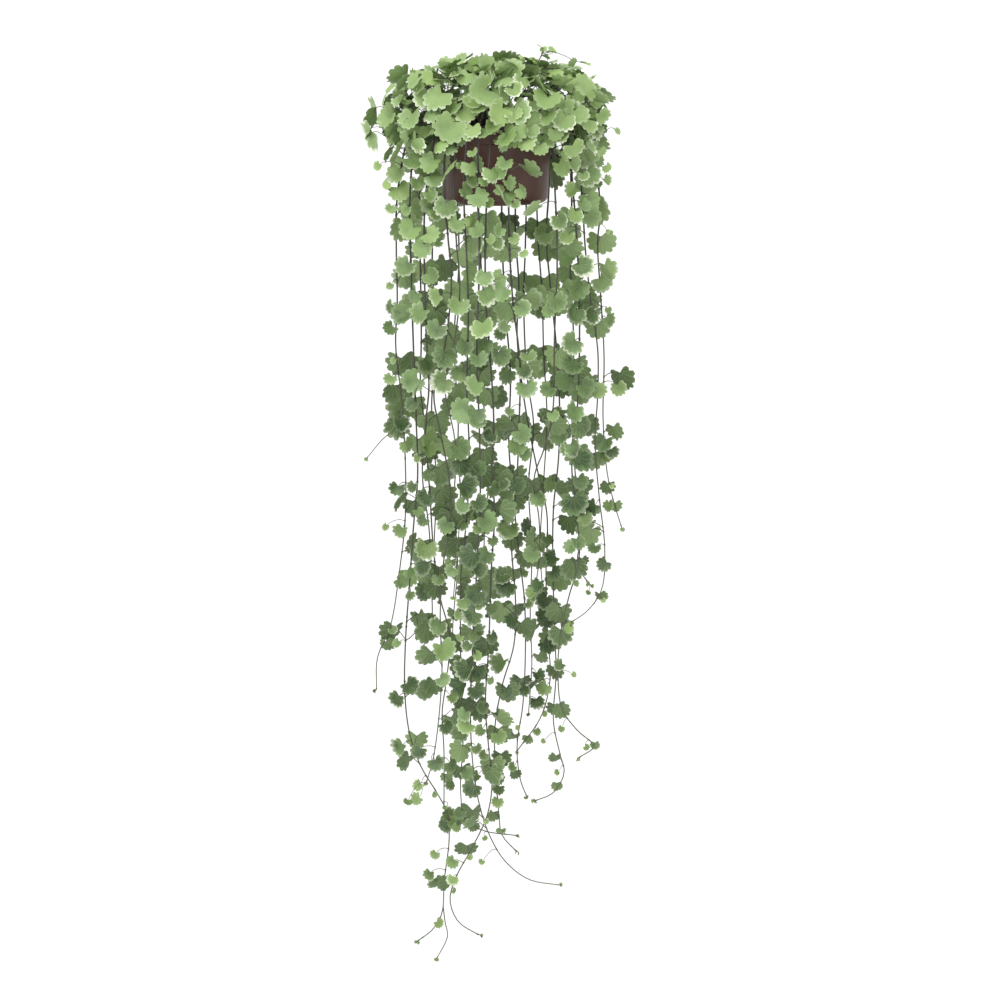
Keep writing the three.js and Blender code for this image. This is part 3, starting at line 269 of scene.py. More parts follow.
# Stem lines: a smooth curve through the points, and the rings where the solid stem bends.
def curvePoint(points, t):
    last = len(points) - 1
    place = last * t
    i = math.floor(place)
    share = place - i
    if share == 0 and i == last:
        i, share = last - 1, 1
    p1, p2 = points[i], points[i + 1]
    p0 = points[i - 1] if i > 0 else points[0] - points[1] + points[0]
    p3 = points[i + 2] if i + 2 <= last else points[last] - points[last - 1] + points[last]
    dt0, dt1, dt2 = (((b - a) @ (b - a)) ** 0.25 for a, b in ((p0, p1), (p1, p2), (p2, p3)))
    m1 = ((p1 - p0) / dt0 - (p2 - p0) / (dt0 + dt1) + (p2 - p1) / dt1) * dt1
    m2 = ((p2 - p1) / dt1 - (p3 - p1) / (dt1 + dt2) + (p3 - p2) / dt2) * dt1
    c2 = -3 * p1 + 3 * p2 - 2 * m1 - m2
    c3 = 2 * p1 - 2 * p2 + m1 + m2
    return p1 + m1 * share + c2 * share * share + c3 * share * share * share


class StemLine:
    def __init__(self, points, straight=0):
        count = (len(points) - 1) * stemSize["curveSteps"]
        self.dense = [curvePoint(points, d / count) for d in range(count + 1)]
        self.run = [0.0]
        for a, b in zip(self.dense, self.dense[1:]):
            self.run.append(self.run[-1] + length(b - a))
        self.length = self.run[-1]
        self.radii = (stemSize["radius"], stemSize["tip"])
        self.marks = self.ringMarks(straight)
        self.centres = [self.pointAt(d) for d in self.marks]

    def pointAt(self, distance):
        i = 1
        while i < len(self.run) - 1 and self.run[i] < distance:
            i += 1
        share = (distance - self.run[i - 1]) / (self.run[i] - self.run[i - 1])
        return self.dense[i - 1] + (self.dense[i] - self.dense[i - 1]) * share

    def directionAt(self, distance):
        ahead = self.pointAt(min(distance + 2, self.length))
        return unit(ahead - self.pointAt(max(distance - 2, 0)))

    def ringMarks(self, straight):
        marks = [0, straight] if straight else [0]
        last = self.directionAt(straight)
        d = straight + 2
        while d < self.length - 4:
            now = self.directionAt(d)
            far = d - marks[-1]
            turned = math.acos(min(1, max(-1, now @ last)))
            bent = far >= stemSize["shortest"] and turned > stemSize["bend"]
            if far >= stemSize["longest"] or bent:
                marks.append(d)
                last = now
            d += 2
        marks.append(self.length)
        return marks

    def stemPoint(self, distance):
        i = 1
        while i < len(self.marks) - 1 and self.marks[i] < distance:
            i += 1
        share = (distance - self.marks[i - 1]) / (self.marks[i] - self.marks[i - 1])
        return self.centres[i - 1] + (self.centres[i] - self.centres[i - 1]) * share

    def radiusAt(self, distance):
        return self.radii[0] + (self.radii[1] - self.radii[0]) * distance / self.length


# What is already placed: blades as flat discs, stems and petioles as rods.
farEnough = leafSize["farEnough"]
ringTurns = [i * 2 * math.pi / 12 for i in range(12)]


class Placed:
    def __init__(self):
        self.blades = []
        self.rods = []
        self.stale = True

    def pack(self):
        if self.stale:
            self.bladeTable = [np.array([b[k] for b in self.blades]) for k in range(4)]
            self.bladeOwner = np.array([b[4] for b in self.blades])
            self.rodTable = [np.array([r[k] for r in self.rods]) for k in range(5)]
            self.rodOwner = np.array([r[5] for r in self.rods])
            self.stale = False

    def addBlade(self, leaf, owner):
        self.blades.append((*bladeOf(leaf), owner))
        self.stale = True

    def addRod(self, start, end, radius, owner):
        self.rods.append((*rodOf(start, end, radius), owner))
        self.stale = True


def bladeOf(leaf):
    centre = leaf["middle"] + leaf["face"] * (-leafSize["cup"] * leaf["width"] / 2)
    radius = leaf["width"] / 2
    rim = np.array([centre + leaf["along"] * (radius * math.cos(t))
                    + leaf["across"] * (radius * math.sin(t)) for t in ringTurns])
    return centre, leaf["face"], radius, rim


def rodOf(start, end, radius):
    return start, end, radius, (start + end) / 2, length(end - start) / 2


def runGaps(points, centres, faces, radii, closed):
    # gaps from runs of points to discs, 0 where a run passes through its disc
    off = points - centres[:, None, :]
    height = np.einsum("mki,mi->mk", off, faces)
    reach = np.sqrt(np.maximum(np.einsum("mki,mki->mk", off, off) - height ** 2, 0))
    gap = np.hypot(height, np.maximum(reach - radii[:, None], 0)).min(axis=1)
    if closed:
        h0, q0 = np.roll(height, 1, axis=1), np.roll(reach, 1, axis=1)
        h1, q1 = height, reach
    else:
        h0, q0, h1, q1 = height[:, :-1], reach[:, :-1], height[:, 1:], reach[:, 1:]
    crossing = h0 * h1 < 0
    share = np.where(crossing, h0 / np.where(h0 == h1, 1, h0 - h1), 0)
    through = crossing & (q0 + (q1 - q0) * share < radii[:, None])
    return np.where(through.any(axis=1), 0, gap)


def rodPoints(start, end):
    return start + (end - start) * np.arange(9)[:, None] / 8


def potGaps(points):
    rim, wall = potSize["rimRadius"], potSize["wall"]
    radius = np.hypot(points[:, 0], points[:, 1])
    z = points[:, 2]
    above = np.maximum(np.maximum(z - potSize["rimHeight"], radius - rim), 0) + 0.5
    below = np.maximum(-potSize["depth"] - z, radius - potSize["bodyLow"])
    inside = np.minimum(rim - wall - radius, z - soilSize["top"] - soilSize["crown"])
    gap = np.where(radius > rim, radius - rim, inside)
    gap = np.where(z < -potSize["depth"], below, gap)
    return np.where(z > potSize["rimHeight"], above, gap)


def rodGaps(p, table):
    starts, ends, radii, middles, halves = table
    d1 = p[1] - p[0]
    d2 = ends - starts
    r = p[0] - starts
    a = d1 @ d1
    e = np.einsum("mi,mi->m", d2, d2)
    b = d2 @ d1
    c = r @ d1
    f = np.einsum("mi,mi->m", d2, r)
    below = a * e - b * b
    s = np.where(below > 1e-9, np.clip((b * f - c * e) / np.where(below > 1e-9, below, 1), 0, 1), 0)
    t = np.clip((b * s + f) / e, 0, 1)
    s = np.clip((b * t - c) / a, 0, 1)
    near = r + d1 * s[:, None] - d2 * t[:, None]
    gap = np.sqrt(np.einsum("mi,mi->m", near, near)) - p[2] - radii
    apart = np.sqrt(((p[3] - middles) ** 2).sum(axis=1)) - p[4] - halves
    return np.where(apart > farEnough, farEnough, gap)


def leafGap(leaf, owner, placed, loose=False):
    placed.pack()
    centre, face, radius, rim = bladeOf(leaf)
    rod = rodOf(leaf["root"], leaf["attach"], stemSize["petiole"])
    rodRun = rodPoints(leaf["root"], leaf["attach"])
    body = np.concatenate([rim, centre[None], rodRun[3:]])
    gap = min(farEnough, potGaps(body).min() - 1)
    if placed.blades:
        centres, faces, radii, rims = placed.bladeTable
        far = np.sqrt(((centres - centre) ** 2).sum(axis=1)) - radii - radius
        near = far <= farEnough
        if near.any():
            c, n, q, w = centres[near], faces[near], radii[near], rims[near]
            ease = np.where(placed.bladeOwner[near] == owner, leafSize["ownEase"], 0)
            gaps = runGaps(rim[None], c, n, q, True)
            own = np.repeat(centre[None], len(c), 0), np.repeat(face[None], len(c), 0)
            gaps = np.minimum(gaps, runGaps(w, *own, np.full(len(c), radius), True))
            gaps = np.minimum(gaps, runGaps(centre[None, None], c, n, q, False))
            gap = min(gap, (gaps + ease).min())
        apart = np.sqrt(((centres - rod[3]) ** 2).sum(axis=1)) - rod[4] - radii
        near = apart <= farEnough
        if near.any() and not loose:
            ease = np.where(placed.bladeOwner[near] == owner, leafSize["ownEase"], 0)
            gaps = runGaps(rodRun[None], centres[near], faces[near], radii[near], False)
            gap = min(gap, (gaps - stemSize["petiole"] + ease).min())
    if gap < leafSize["clearLeast"]:
        return gap
    starts, ends, radii, middles, halves = placed.rodTable
    own = placed.rodOwner == owner
    near = np.sqrt(((middles - centre) ** 2).sum(axis=1)) - halves - radius <= farEnough
    if near.any():
        runs = starts[near][:, None] + (ends - starts)[near][:, None] * np.arange(9)[None, :, None] / 8
        count = len(runs)
        gaps = runGaps(runs, np.repeat(centre[None], count, 0), np.repeat(face[None], count, 0),
                       np.full(count, radius), False)
        gap = min(gap, (gaps - radii[near] + np.where(own[near], leafSize["ownEase"], 0)).min())
    if (~own).any() and not loose:
        gap = min(gap, rodGaps(rod, [k[~own] for k in placed.rodTable]).min())
    return gap


def placeLeaf(poses, owner, placed, loose=False):
    # the first pose that is clear, or else the clearest; loose lets stalks cross unseen inside
    best, bestGap = None, leafSize["clearLeast"]
    for leaf in poses:
        gap = leafGap(leaf, owner, placed, loose)
        if gap > bestGap:
            best, bestGap = leaf, gap
        if gap >= leafSize["clearWanted"]:
            break
    if best is None:
        return None
    placed.addBlade(best, owner)
    placed.addRod(best["root"], best["attach"], stemSize["petiole"], owner)
    return best


def soilHeight(radius):
    inside = potSize["rimRadius"] - potSize["wall"] - soilSize["gap"]
    return soilSize["top"] + soilSize["crown"] * (1 - radius / inside)


def hanger(depth, path):
    lowest = min(z for x, z in path)
    near, far = depth
    return lambda x, z: np.array([x, near + (far - near) * min(max(z / lowest, 0), 1), z], float)


def rootHeights(radius):
    # where a stem stands straight, from its foot to just above the soil
    ground = soilHeight(radius)
    return [ground - soilSize["rootDepth"], ground - 6, ground + 1, ground + 5]


def trailLine(depth, path, order):
    hang = hanger(depth, path)
    route = [hang(x, z) for x, z in path]
    out = unit(np.array([route[0][0], route[0][1], 0]))
    rootRadius = stemSize["rootCircles"][order % 2]
    ring = [(rootRadius, z) for z in rootHeights(rootRadius)] + stemSize["rimCrossing"]
    return StemLine([out * radius + up * z for radius, z in ring] + route, soilSize["rootRun"])


def leafWidthAt(line, distance, chance):
    toTip = min((line.length - distance) / leafSize["youngEnd"], 1)
    least = leafSize["youngLeast"]
    young = least + (1 - least) * toTip * toTip * (3 - 2 * toTip)
    older = 1 - leafSize["widthLoss"] * distance
    return leafSize["wide"] * older * young * (0.84 + 0.26 * chance)


def leafAt(root, face, wish, width, middle=None, attach=None):
    # a leaf known by its middle or by the end of its petiole
    front = unit(face)
    along = unit(wish - front * (wish @ front))
    back = along * (leafSize["attachBack"] * width)
    if attach is None:
        attach = middle - back
    else:
        middle = attach + back
    return {"root": root, "attach": attach, "middle": middle, "along": along,
            "across": np.cross(front, along), "face": front, "width": width}


# Leaves on the hanging stems that show from the front
depthsTried = [-8, 6, -13, 11, -18, 16, -4, 21]
rootsTried = [0, -6, 5, -12, 10, -18, 4, -10]
turnsTried = [0, 20, -20, 40, -40, 60, -60, 90]


def nearestOn(line, x, z):
    best, bestGap = 0, 1e9
    for i, p in enumerate(line.dense):
        if p[2] > moundSize["skirt"] and math.hypot(p[0], p[1]) < stemSize["overSoil"]:
            continue
        gap = (p[0] - x) ** 2 + (p[2] - z) ** 2
        if gap < bestGap:
            best, bestGap = i, gap
    return best, math.sqrt(bestGap)


def stemsNear(lines, x, z):
    found = []
    for entry in lines:
        i, gap = nearestOn(entry["line"], x, z + 4)
        if gap > leafSize["stemReach"]:
            continue
        run = entry["line"].run[i]
        crowd = sum(1 for taken in entry["taken"] if abs(taken - run) < 10)
        depth = entry["line"].dense[i][1]
        found.append((gap + 0.1 * (depth + 90) + 9 * crowd, entry, run))
    found.sort(key=lambda f: f[0])
    return found[:3]


def spotPoses(spot, entry, run, draws):
    x, z, width = spot
    line = entry["line"]
    least, most = leafSize["petioles"]
    poses = []
    for i in range(len(rootsTried)):
        root = line.stemPoint(min(max(run + rootsTried[i], 0), line.length - 1))
        middle = np.array([x, root[1] + depthsTried[i] - 6 * draws[0], z], float)
        off = x - root[0]
        side = (1 if draws[1] > 0.5 else -1) if abs(off) < 3 else math.copysign(1, off)
        lean = side * (35 + turnsTried[i] + 50 * (draws[2] - 0.5)) * degree
        face = np.array([0.9 * (draws[3] - 0.5) + 0.3 * side, -0.8, 0.05 + 0.55 * draws[4]])
        wish = np.array([math.sin(lean), 0, -math.cos(lean)])
        pose = leafAt(root, face, wish, width, middle=middle)
        if least <= length(pose["attach"] - root) <= most:
            poses.append(pose)
    return poses


def placeSpot(spot, lines, draws, placed, loose=False):
    for cost, entry, run in stemsNear(lines, spot[0], spot[1]):
        leaf = placeLeaf(spotPoses(spot, entry, run, draws), entry["shoot"]["name"], placed, loose)
        if leaf:
            entry["taken"].append(run)
            return leaf, entry
    return None, None


def besideSpot(x, z, near):
    return any((x - sx) ** 2 + (z - sz) ** 2 < near * near for sx, sz, width in frontLeaves)


# Leaves behind those, which keep the gaps of the front view open
backTurns = [0, 30, -30, 60, -60, 85, -85]


def backPoses(line, distance, width, draws):
    root = line.stemPoint(distance)
    poses = []
    for i, extra in enumerate(backTurns):
        angle = (90 + 100 * (draws[0] - 0.5) + extra) * degree
        side = np.array([math.cos(angle), math.sin(angle), 0])
        reach = width * (0.4 + 0.3 * draws[1]) + 3
        lift = 0.3 + 0.4 * draws[2] - 0.25 * (i % 3)
        attach = root + side * reach + up * (reach * lift)
        face = side * (0.5 + 0.4 * draws[3]) + np.array([0, 0.5, 0.2 + 0.5 * draws[4]])
        pose = leafAt(root, face, side * 0.75 + up * -0.7, width, attach=attach)
        if besideSpot(pose["middle"][0], pose["middle"][2], leafSize["behind"]):
            poses.append(pose)
    return poses


def backLeaves(entry, first, step, draw, placed):
    line = entry["line"]
    distance = first + step * draw()
    leaves = []
    while distance < line.length - 6:
        draws = fiveDraws(draw)
        width = leafWidthAt(line, distance, draw())
        leaf = placeLeaf(backPoses(line, distance, width, draws), entry["shoot"]["name"], placed)
        if leaf:
            leaves.append(leaf)
            entry["taken"].append(distance)
            distance += step * (0.8 + 0.4 * draw())
        else:
            distance += step * 0.25
    return leaves


# Crown, the mound of leaves over the pot
def moundDepth(y):
    return moundSize["front"] if y < 0 else moundSize["back"]


def crownLine(i):
    # the inner shoots stand, the outer ones lean out
    share = (i + 0.5) / moundSize["shoots"]
    turn = i * leafSize["golden"] * degree
    rootRadius = 6 + 25 * math.sqrt(share)
    tilt = (22 + 60 * (1 - share)) * degree
    root = np.array([rootRadius * math.cos(turn), rootRadius * math.sin(turn),
                     soilHeight(rootRadius)])
    end = np.array([
        0.6 * moundSize["x"] * math.cos(tilt) * math.cos(turn),
        0.6 * moundDepth(math.sin(turn)) * math.cos(tilt) * math.sin(turn),
        moundSize["lift"] + 26 + 0.42 * moundSize["top"] * math.sin(tilt),
    ])
    if i == moundSize["sprig"]:
        end = np.array(moundSize["sprigEnd"])
    knee = root + (end - root) * 0.5 + up * 8
    points = [np.array([root[0], root[1], z]) for z in rootHeights(rootRadius)]
    line = StemLine(points + [knee, end], soilSize["rootRun"])
    line.radii = (stemSize["radius"], stemSize["tip"] + stemSize["crownTip"])
    return line


def moundOutward(u, v, w):
    flat = math.hypot(u, v) ** (moundSize["power"] - 2)
    rise = math.copysign(abs(w) ** (moundSize["power"] - 1), w)
    return unit(np.array([flat * u / moundSize["x"], flat * v / moundDepth(v),
                          rise / moundSize["top"]]))


def moundPoint(turn, rise, scale):
    # a spot on the mound, round in plan and flat on top
    power = moundSize["power"]
    flat = math.sqrt(max(1 - rise * rise, 0))
    k = scale * (flat ** power + abs(rise) ** power) ** (-1 / power)
    u, v, w = k * flat * math.cos(turn), k * flat * math.sin(turn), k * rise
    spot = np.array([moundSize["x"] * u, moundDepth(v) * v, moundSize["lift"] + moundSize["top"] * w])
    return spot, moundOutward(u, v, w)


def frontSeat(x, z):
    # the spot on the front of the mound that is seen at x and z
    power = moundSize["power"]
    u = x / moundSize["x"]
    w = (z - moundSize["lift"]) / moundSize["top"]
    ring = max(1 - abs(w) ** power, 0) ** (1 / power)
    v = -math.sqrt(max(ring * ring - u * u, 0))
    return np.array([x, moundSize["front"] * v, z], float), moundOutward(u, min(v, -0.15), w)


def turned(v, axis, angle):
    return (v * math.cos(angle) + np.cross(axis, v) * math.sin(angle)
            + axis * (axis @ v) * (1 - math.cos(angle)))


moundSteps = [0, -6, 5, -11, 9, -16, 3, -3]
moundTurns = [0, 22, -22, 45, -45, 12, 70, -70]


def crownPoses(seat, width, draws, carriers, steps, wild=1):
    spot, outward = seat
    down = outward * outward[2] - up
    down = unit(down) if outward[2] <= 0.97 else np.array([math.cos(spot[0]), math.sin(spot[0]), 0])
    least, most = leafSize["crownPetioles"]
    free = [c for c in carriers if c["leaves"] < moundSize["perNode"]]
    near = sorted(free, key=lambda c: length(c["point"] - spot))[:3]
    poses = []
    for carrier in near:
        for k, step in enumerate(steps):
            yaw = (moundTurns[k] + 70 * (draws[1] - 0.5)) * degree
            slope = (50 * draws[2] - 8) * wild * degree
            roll = 56 * (draws[3] - 0.5) * wild * degree
            wish = turned(down, outward, yaw)
            along = wish * math.cos(slope) + outward * math.sin(slope)
            face = turned(outward * math.cos(slope) + wish * -math.sin(slope), along, roll)
            middle = spot + outward * (step + 6 * (draws[4] - 0.5))
            pose = leafAt(carrier["point"], face, along, width, middle=middle)
            run = pose["attach"] - carrier["point"]
            if least <= length(run) <= most and unit(run) @ along >= -0.3:
                poses.append({**pose, "carrier": carrier})
    return poses


def placeCrownLeaf(poses, placed, fine=False):
    for pose in poses:
        leaf = placeLeaf([pose], pose["carrier"]["shoot"]["name"], placed, fine)
        if leaf:
            leaf["carrier"]["leaves"] += 1
            leaf["carrier"]["shoot"]["fine" if fine else "leaves"].append(leaf)
            return leaf
    return None


def crownCarriers(shoots):
    carriers = []
    for shoot in shoots:
        line = shoot["line"]
        marks = []
        if shoot["trailing"]:
            d = moundSize["holdFirst"]
            while d < line.length:
                point = line.pointAt(d)
                if point[2] < moundSize["holdLowest"]:
                    break
                if math.hypot(point[0], point[1]) > stemSize["overSoil"]:
                    marks.append(d)
                d += moundSize["holdStep"]
        else:
            marks = [share * line.length for share in moundSize["holdShares"]]
        carriers += [{"shoot": shoot, "point": line.stemPoint(d), "leaves": 0} for d in marks]
    return carriers


def growCrown(carriers, placed):
    # the front from the leaves that show, the back by an even spiral over the mound
    draw = seeded(moundSize["seed"])
    for x, z, width in frontLeaves:
        if z > moundSize["skirt"]:
            draws = fiveDraws(draw)
            seat, wide = frontSeat(x, z), width * moundSize["widen"]
            placeCrownLeaf(crownPoses(seat, wide, draws, carriers, moundSteps), placed)
    for i in range(moundSize["leaves"]):
        draws = fiveDraws(draw)
        turn = i * leafSize["golden"] * degree
        rise = 1 - 1.3 * ((i + 0.5) / moundSize["leaves"]) ** 1.5
        seat = moundPoint(turn, rise, 1)
        if seat[0][1] > 8 or rise > moundSize["flatFrom"]:
            width = leafSize["wide"] * (0.66 + 0.4 * draws[0])
            placeCrownLeaf(crownPoses(seat, width, draws, carriers, moundSteps), placed)


def growTrails(lines, placed):
    draw = seeded(leafSize["seed"])
    for spot in frontLeaves:
        if spot[1] <= moundSize["skirt"]:
            draws = fiveDraws(draw)
            leaf, entry = placeSpot(spot, lines, draws, placed)
            if leaf:
                entry["shoot"]["leaves"].append(leaf)
    for entry in lines:
        if not entry["twig"]:
            found = backLeaves(entry, leafSize["first"], leafSize["step"], draw, placed)
            entry["shoot"]["leaves"] += found


def layOutPlant():
    placed = Placed()
    shoots, lines = [], []
    for order, (name, depth, path, twigs) in enumerate(trails):
        line = trailLine(depth, path, order)
        hang = hanger(depth, path)
        side = []
        for twig in twigs:
            points = [hang(x, z) for x, z in twig]
            points[0] = min(line.dense, key=lambda p: length(p - points[0])).copy()
            own = StemLine(points)
            own.radii = (stemSize["tip"] * 1.1, stemSize["tip"] * 0.8)
            side.append(own)
        shoot = {"name": "stem_" + name, "line": line, "twigs": side, "leaves": [], "trailing": True}
        shoots.append(shoot)
        lines.append({"shoot": shoot, "line": line, "taken": [], "twig": False})
        lines += [{"shoot": shoot, "line": twig, "taken": [], "twig": True} for twig in side]
    for i in range(moundSize["shoots"]):
        shoots.append({"name": f"crown_shoot_{i + 1}", "line": crownLine(i), "twigs": [],
                       "leaves": [], "trailing": False})
    for shoot in shoots:
        for line in [shoot["line"]] + shoot["twigs"]:
            for k in range(1, len(line.marks)):
                radius = line.radiusAt(line.marks[k])
                placed.addRod(line.centres[k - 1], line.centres[k], radius, shoot["name"])
    growCrown(crownCarriers(shoots), placed)
    growTrails(lines, placed)
    return shoots, lines, placed


# The fine growth that the solid model leaves out, on the same stems.
growth = {
    "seed": 733, "clearWanted": 0.9, "clearLeast": 0.2,      # gaps between blades, mm
    "beside": 26, "besideShare": 0.15, "besideFrom": 11, "looseFrom": -95,
    "backFirst": 62, "backStep": 80, "tipLeaf": 5,
    "holdFirst": 30, "holdStep": 7, "holdLowest": -50, "sprigFoot": 86, "sprigLeavesFrom": 92,
    "steps": (0, -4, 4, -9, 7), "wild": 1.7, "backSkirt": 70,
}
# Rings of further crown leaves: on the mound, and inside it.
outerRing = {
    "seats": 130, "turn": 61, "drop": 1.15, "scale": 0.94, "scatter": 0, "width": (0.38, 0.38),
}
innerRing = {
    "seats": 170, "turn": 17, "drop": 1.05, "scale": 0.80, "scatter": 0.12, "width": (0.55, 0.4),
}


def nearestRun(line, point):
    gaps = [length(p - point) for p in line.dense]
    return line.run[gaps.index(min(gaps))]


def growFine(shoots, lines, placed):
    # the fine leaves may stand closer to each other
    leafSize["clearWanted"], leafSize["clearLeast"] = growth["clearWanted"], growth["clearLeast"]
    for shoot in shoots:
        shoot["fine"] = []
    draw = seeded(growth["seed"])
    fineCrown(shoots, draw, placed)
    for k, spot in enumerate(fineLeaves + frontLeaves):
        # the leaves that show, then a smaller neighbour for some
        if spot[1] > moundSize["skirt"]:
            continue
        draws = fiveDraws(draw)
        if k < len(fineLeaves):
            leaf, entry = placeSpot(spot, lines, draws, placed, spot[1] > growth["looseFrom"])
            if leaf:
                entry["shoot"]["fine"].append(leaf)
        turn = 2 * math.pi * draw()
        if draw() < growth["besideShare"] and spot[2] > growth["besideFrom"]:
            away = growth["beside"] * (0.45 + 0.4 * draw())
            near = (spot[0] + away * math.cos(turn), spot[1] + away * math.sin(turn),
                    spot[2] * (0.5 + 0.35 * draw()))
            draws = fiveDraws(draw)
            leaf, entry = placeSpot(near, lines, draws, placed)
            if leaf:
                entry["shoot"]["fine"].append(leaf)
    for entry in lines:
        if not entry["twig"]:
            found = backLeaves(entry, growth["backFirst"], growth["backStep"], draw, placed)
            entry["shoot"]["fine"] += found
        tipLeaves(entry, draw)


def tipLeaves(entry, draw):
    # a folded pair of tiny leaves at the very end of a stem
    line = entry["line"]
    for half in (0, 180):
        root = line.pointAt(line.length - 1.5)
        angle = (360 * draw() + half) * degree
        side = np.array([math.cos(angle), math.sin(angle), 0])
        ahead = line.directionAt(line.length - 2)
        attach = root + side * 1.5 + ahead * 2
        face = side * 0.8 + up * 0.3 + np.array([0, -0.3, 0])
        width = growth["tipLeaf"] * (0.8 + 0.4 * draw())
        leaf = leafAt(root, face, ahead + side * 0.4, width, attach=attach)
        entry["shoot"]["fine"].append(leaf)


def ringSeats(ring, draw):
    # an even spiral over the mound, closest together on top
    seats = []
    least, spread = ring["width"]
    for i in range(ring["seats"]):
        turn = (i * leafSize["golden"] + ring["turn"]) * degree
        rise = 1 - ring["drop"] * ((i + 0.5) / ring["seats"]) ** 1.5
        scale = ring["scale"] + (ring["scatter"] * draw() if ring["scatter"] else 0)
        seats.append((moundPoint(turn, rise, scale), leafSize["wide"] * (least + spread * draw())))
    return seats


def fineCrown(shoots, draw, placed):
    carriers = []
    for shoot in shoots:
        line = shoot["line"]
        d = growth["holdFirst"]
        while d < line.length:
            point = line.pointAt(d)
            if point[2] < growth["holdLowest"]:
                break
            outside = math.hypot(point[0], point[1]) > stemSize["overSoil"]
            if outside or not shoot["trailing"]:
                carriers.append({"shoot": shoot, "point": point, "leaves": 0})
            d += growth["holdStep"]
    seats = []
    for x, z, width in fineLeaves:
        if z > moundSize["skirt"]:
            seats.append((frontSeat(x, z), width * moundSize["widen"]))
    seats += ringSeats(outerRing, draw) + ringSeats(innerRing, draw)
    for i in range(growth["backSkirt"]):
        turn = (-30 + 240 * draw()) * degree
        out = np.array([math.cos(turn), math.sin(turn), 0])
        spot = out * (84 + 14 * draw()) + up * (-30 + 50 * draw())
        seats.append(((spot, unit(out + up * 0.4)), leafSize["wide"] * (0.55 + 0.4 * draw())))
    missed = 0
    sprig = [c for c in carriers if c["point"][2] > growth["sprigFoot"]]
    carriers = [c for c in carriers if c["point"][2] <= growth["sprigFoot"]]
    for seat, width in seats:
        draws = fiveDraws(draw)
        near = sprig if seat[0][2] > growth["sprigLeavesFrom"] else carriers
        for carrier in near:
            carrier["leaves"] = 0
        poses = crownPoses(seat, width, draws, near, growth["steps"], growth["wild"])
        if not placeCrownLeaf(poses, placed, True):
            missed += 1
    print("crown seats", len(seats), "missed", missed)


# Leaf blades: a round, notched, scalloped leaf one unit wide, stalk end at the origin.
blade = {
    "teeth": 9, "notchTurn": 148, "toothDepth": 0.10, "centre": 0.2, "reach": 0.50,
    "thick": 0.013, "middle": 0.56, "middleEdge": 0.42, "seed": 40,
    "shapes": [   # bowl, fold along the middle, tip droop, wave round the edge, twist
        (0.20, 0.00, 0.05, 0.030, 0.00),
        (-0.20, 0.05, 0.15, 0.036, 0.10),
        (0.08, 0.30, 0.16, 0.024, -0.10),
        (-0.14, -0.12, 0.35, 0.040, 0.08),
        (0.34, 0.10, -0.10, 0.034, -0.16),
        (0.02, 0.18, 0.30, 0.046, 0.20),
        (0.15, 0.55, 0.20, 0.030, 0.05),
        (-0.30, -0.20, 0.10, 0.044, -0.18),
    ],
}


def bladeHeight(x, y, shape, turn):
    bowl, fold, droop, wave, twist = shape
    away = x * x + y * y
    lift = bowl * away + fold * abs(y) - droop * max(x, 0) ** 2 + twist * x * y
    return lift + wave * math.sin(turn * 4.5 + 8 * bowl) * min(1, away * 4)


def bladeOutline(draw):
    # rim points from one side of the notch round the tip to the other, three for each tooth
    teeth, half = blade["teeth"], blade["notchTurn"] * degree
    rim = []
    for i in range(teeth):
        bold = 0.55 + 0.8 * draw()
        for part, reach in ((0, -1), (0.3, 0.9), (0.7, 0.9)):
            turn = -half + 2 * half * (i + part) / teeth
            rim.append((turn, blade["reach"] + blade["toothDepth"] * reach * 0.5 * bold, part == 0))
    rim.append((half, blade["reach"] - blade["toothDepth"] * 0.5, True))
    points = []
    for turn, reach, valley in rim:
        lobes = 1 + 0.05 * math.cos(2 * turn + math.pi)   # a little wider than long
        points.append((blade["centre"] + reach * lobes * math.cos(turn), reach * lobes * math.sin(turn),
                       valley))
    return points


def meshFrom(work, name):
    mesh = bpy.data.meshes.new(name)
    work.to_mesh(mesh)
    work.free()
    return mesh


def makeBlade(kind, shape):
    work = bmesh.new()
    edge = work.verts.layers.float.new("edge")
    plane = work.loops.layers.uv.new("leafPlane")
    outline = bladeOutline(seeded(blade["seed"] + kind))
    flat = {}

    def place(x, y, drop, rimness):
        turn = math.atan2(y, x)
        vert = work.verts.new((x, y, bladeHeight(x, y, shape, turn) - drop))
        vert[edge] = rimness
        flat[vert] = (x, y)
        return vert

    rim = [place(x, y, 0, 1) for x, y, valley in outline]
    hub = place(0, 0, 0, 0)
    valleys = [i for i, point in enumerate(outline) if point[2]]
    share = blade["middle"]
    upper, lower = [], []
    for i in valleys:
        near = min(max(i, 1), len(outline) - 2)   # the outer two stand a little inside the notch
        x, y = outline[near][0] * share, outline[near][1] * share
        upper.append(place(x, y, -0.004, blade["middleEdge"]))
        lower.append(place(x, y, blade["thick"], blade["middleEdge"]))
    for side, middle in ((0, upper), (1, lower)):
        rings = [(hub, rim[0], middle[0]), (hub, middle[-1], rim[-1])]
        for k in range(len(valleys) - 1):
            a, b, c, d = (rim[valleys[k] + j] for j in range(4))
            near, far = middle[k], middle[k + 1]
            rings += [(near, a, b), (near, b, c, far), (far, c, d), (hub, near, far)]
        for ring in rings:
            face = work.faces.new(ring if side == 0 else ring[::-1])
            face.smooth = True
            for loop in face.loops:
                x, y = flat[loop.vert]
                loop[plane].uv = (x + 0.5 + 2 * side, y + 0.5)
    for line in work.edges:
        sides = {face.loops[0][plane].uv[0] > 1.6 for face in line.link_faces}
        line.smooth = len(sides) < 2
    return meshFrom(work, f"blade_{kind}")


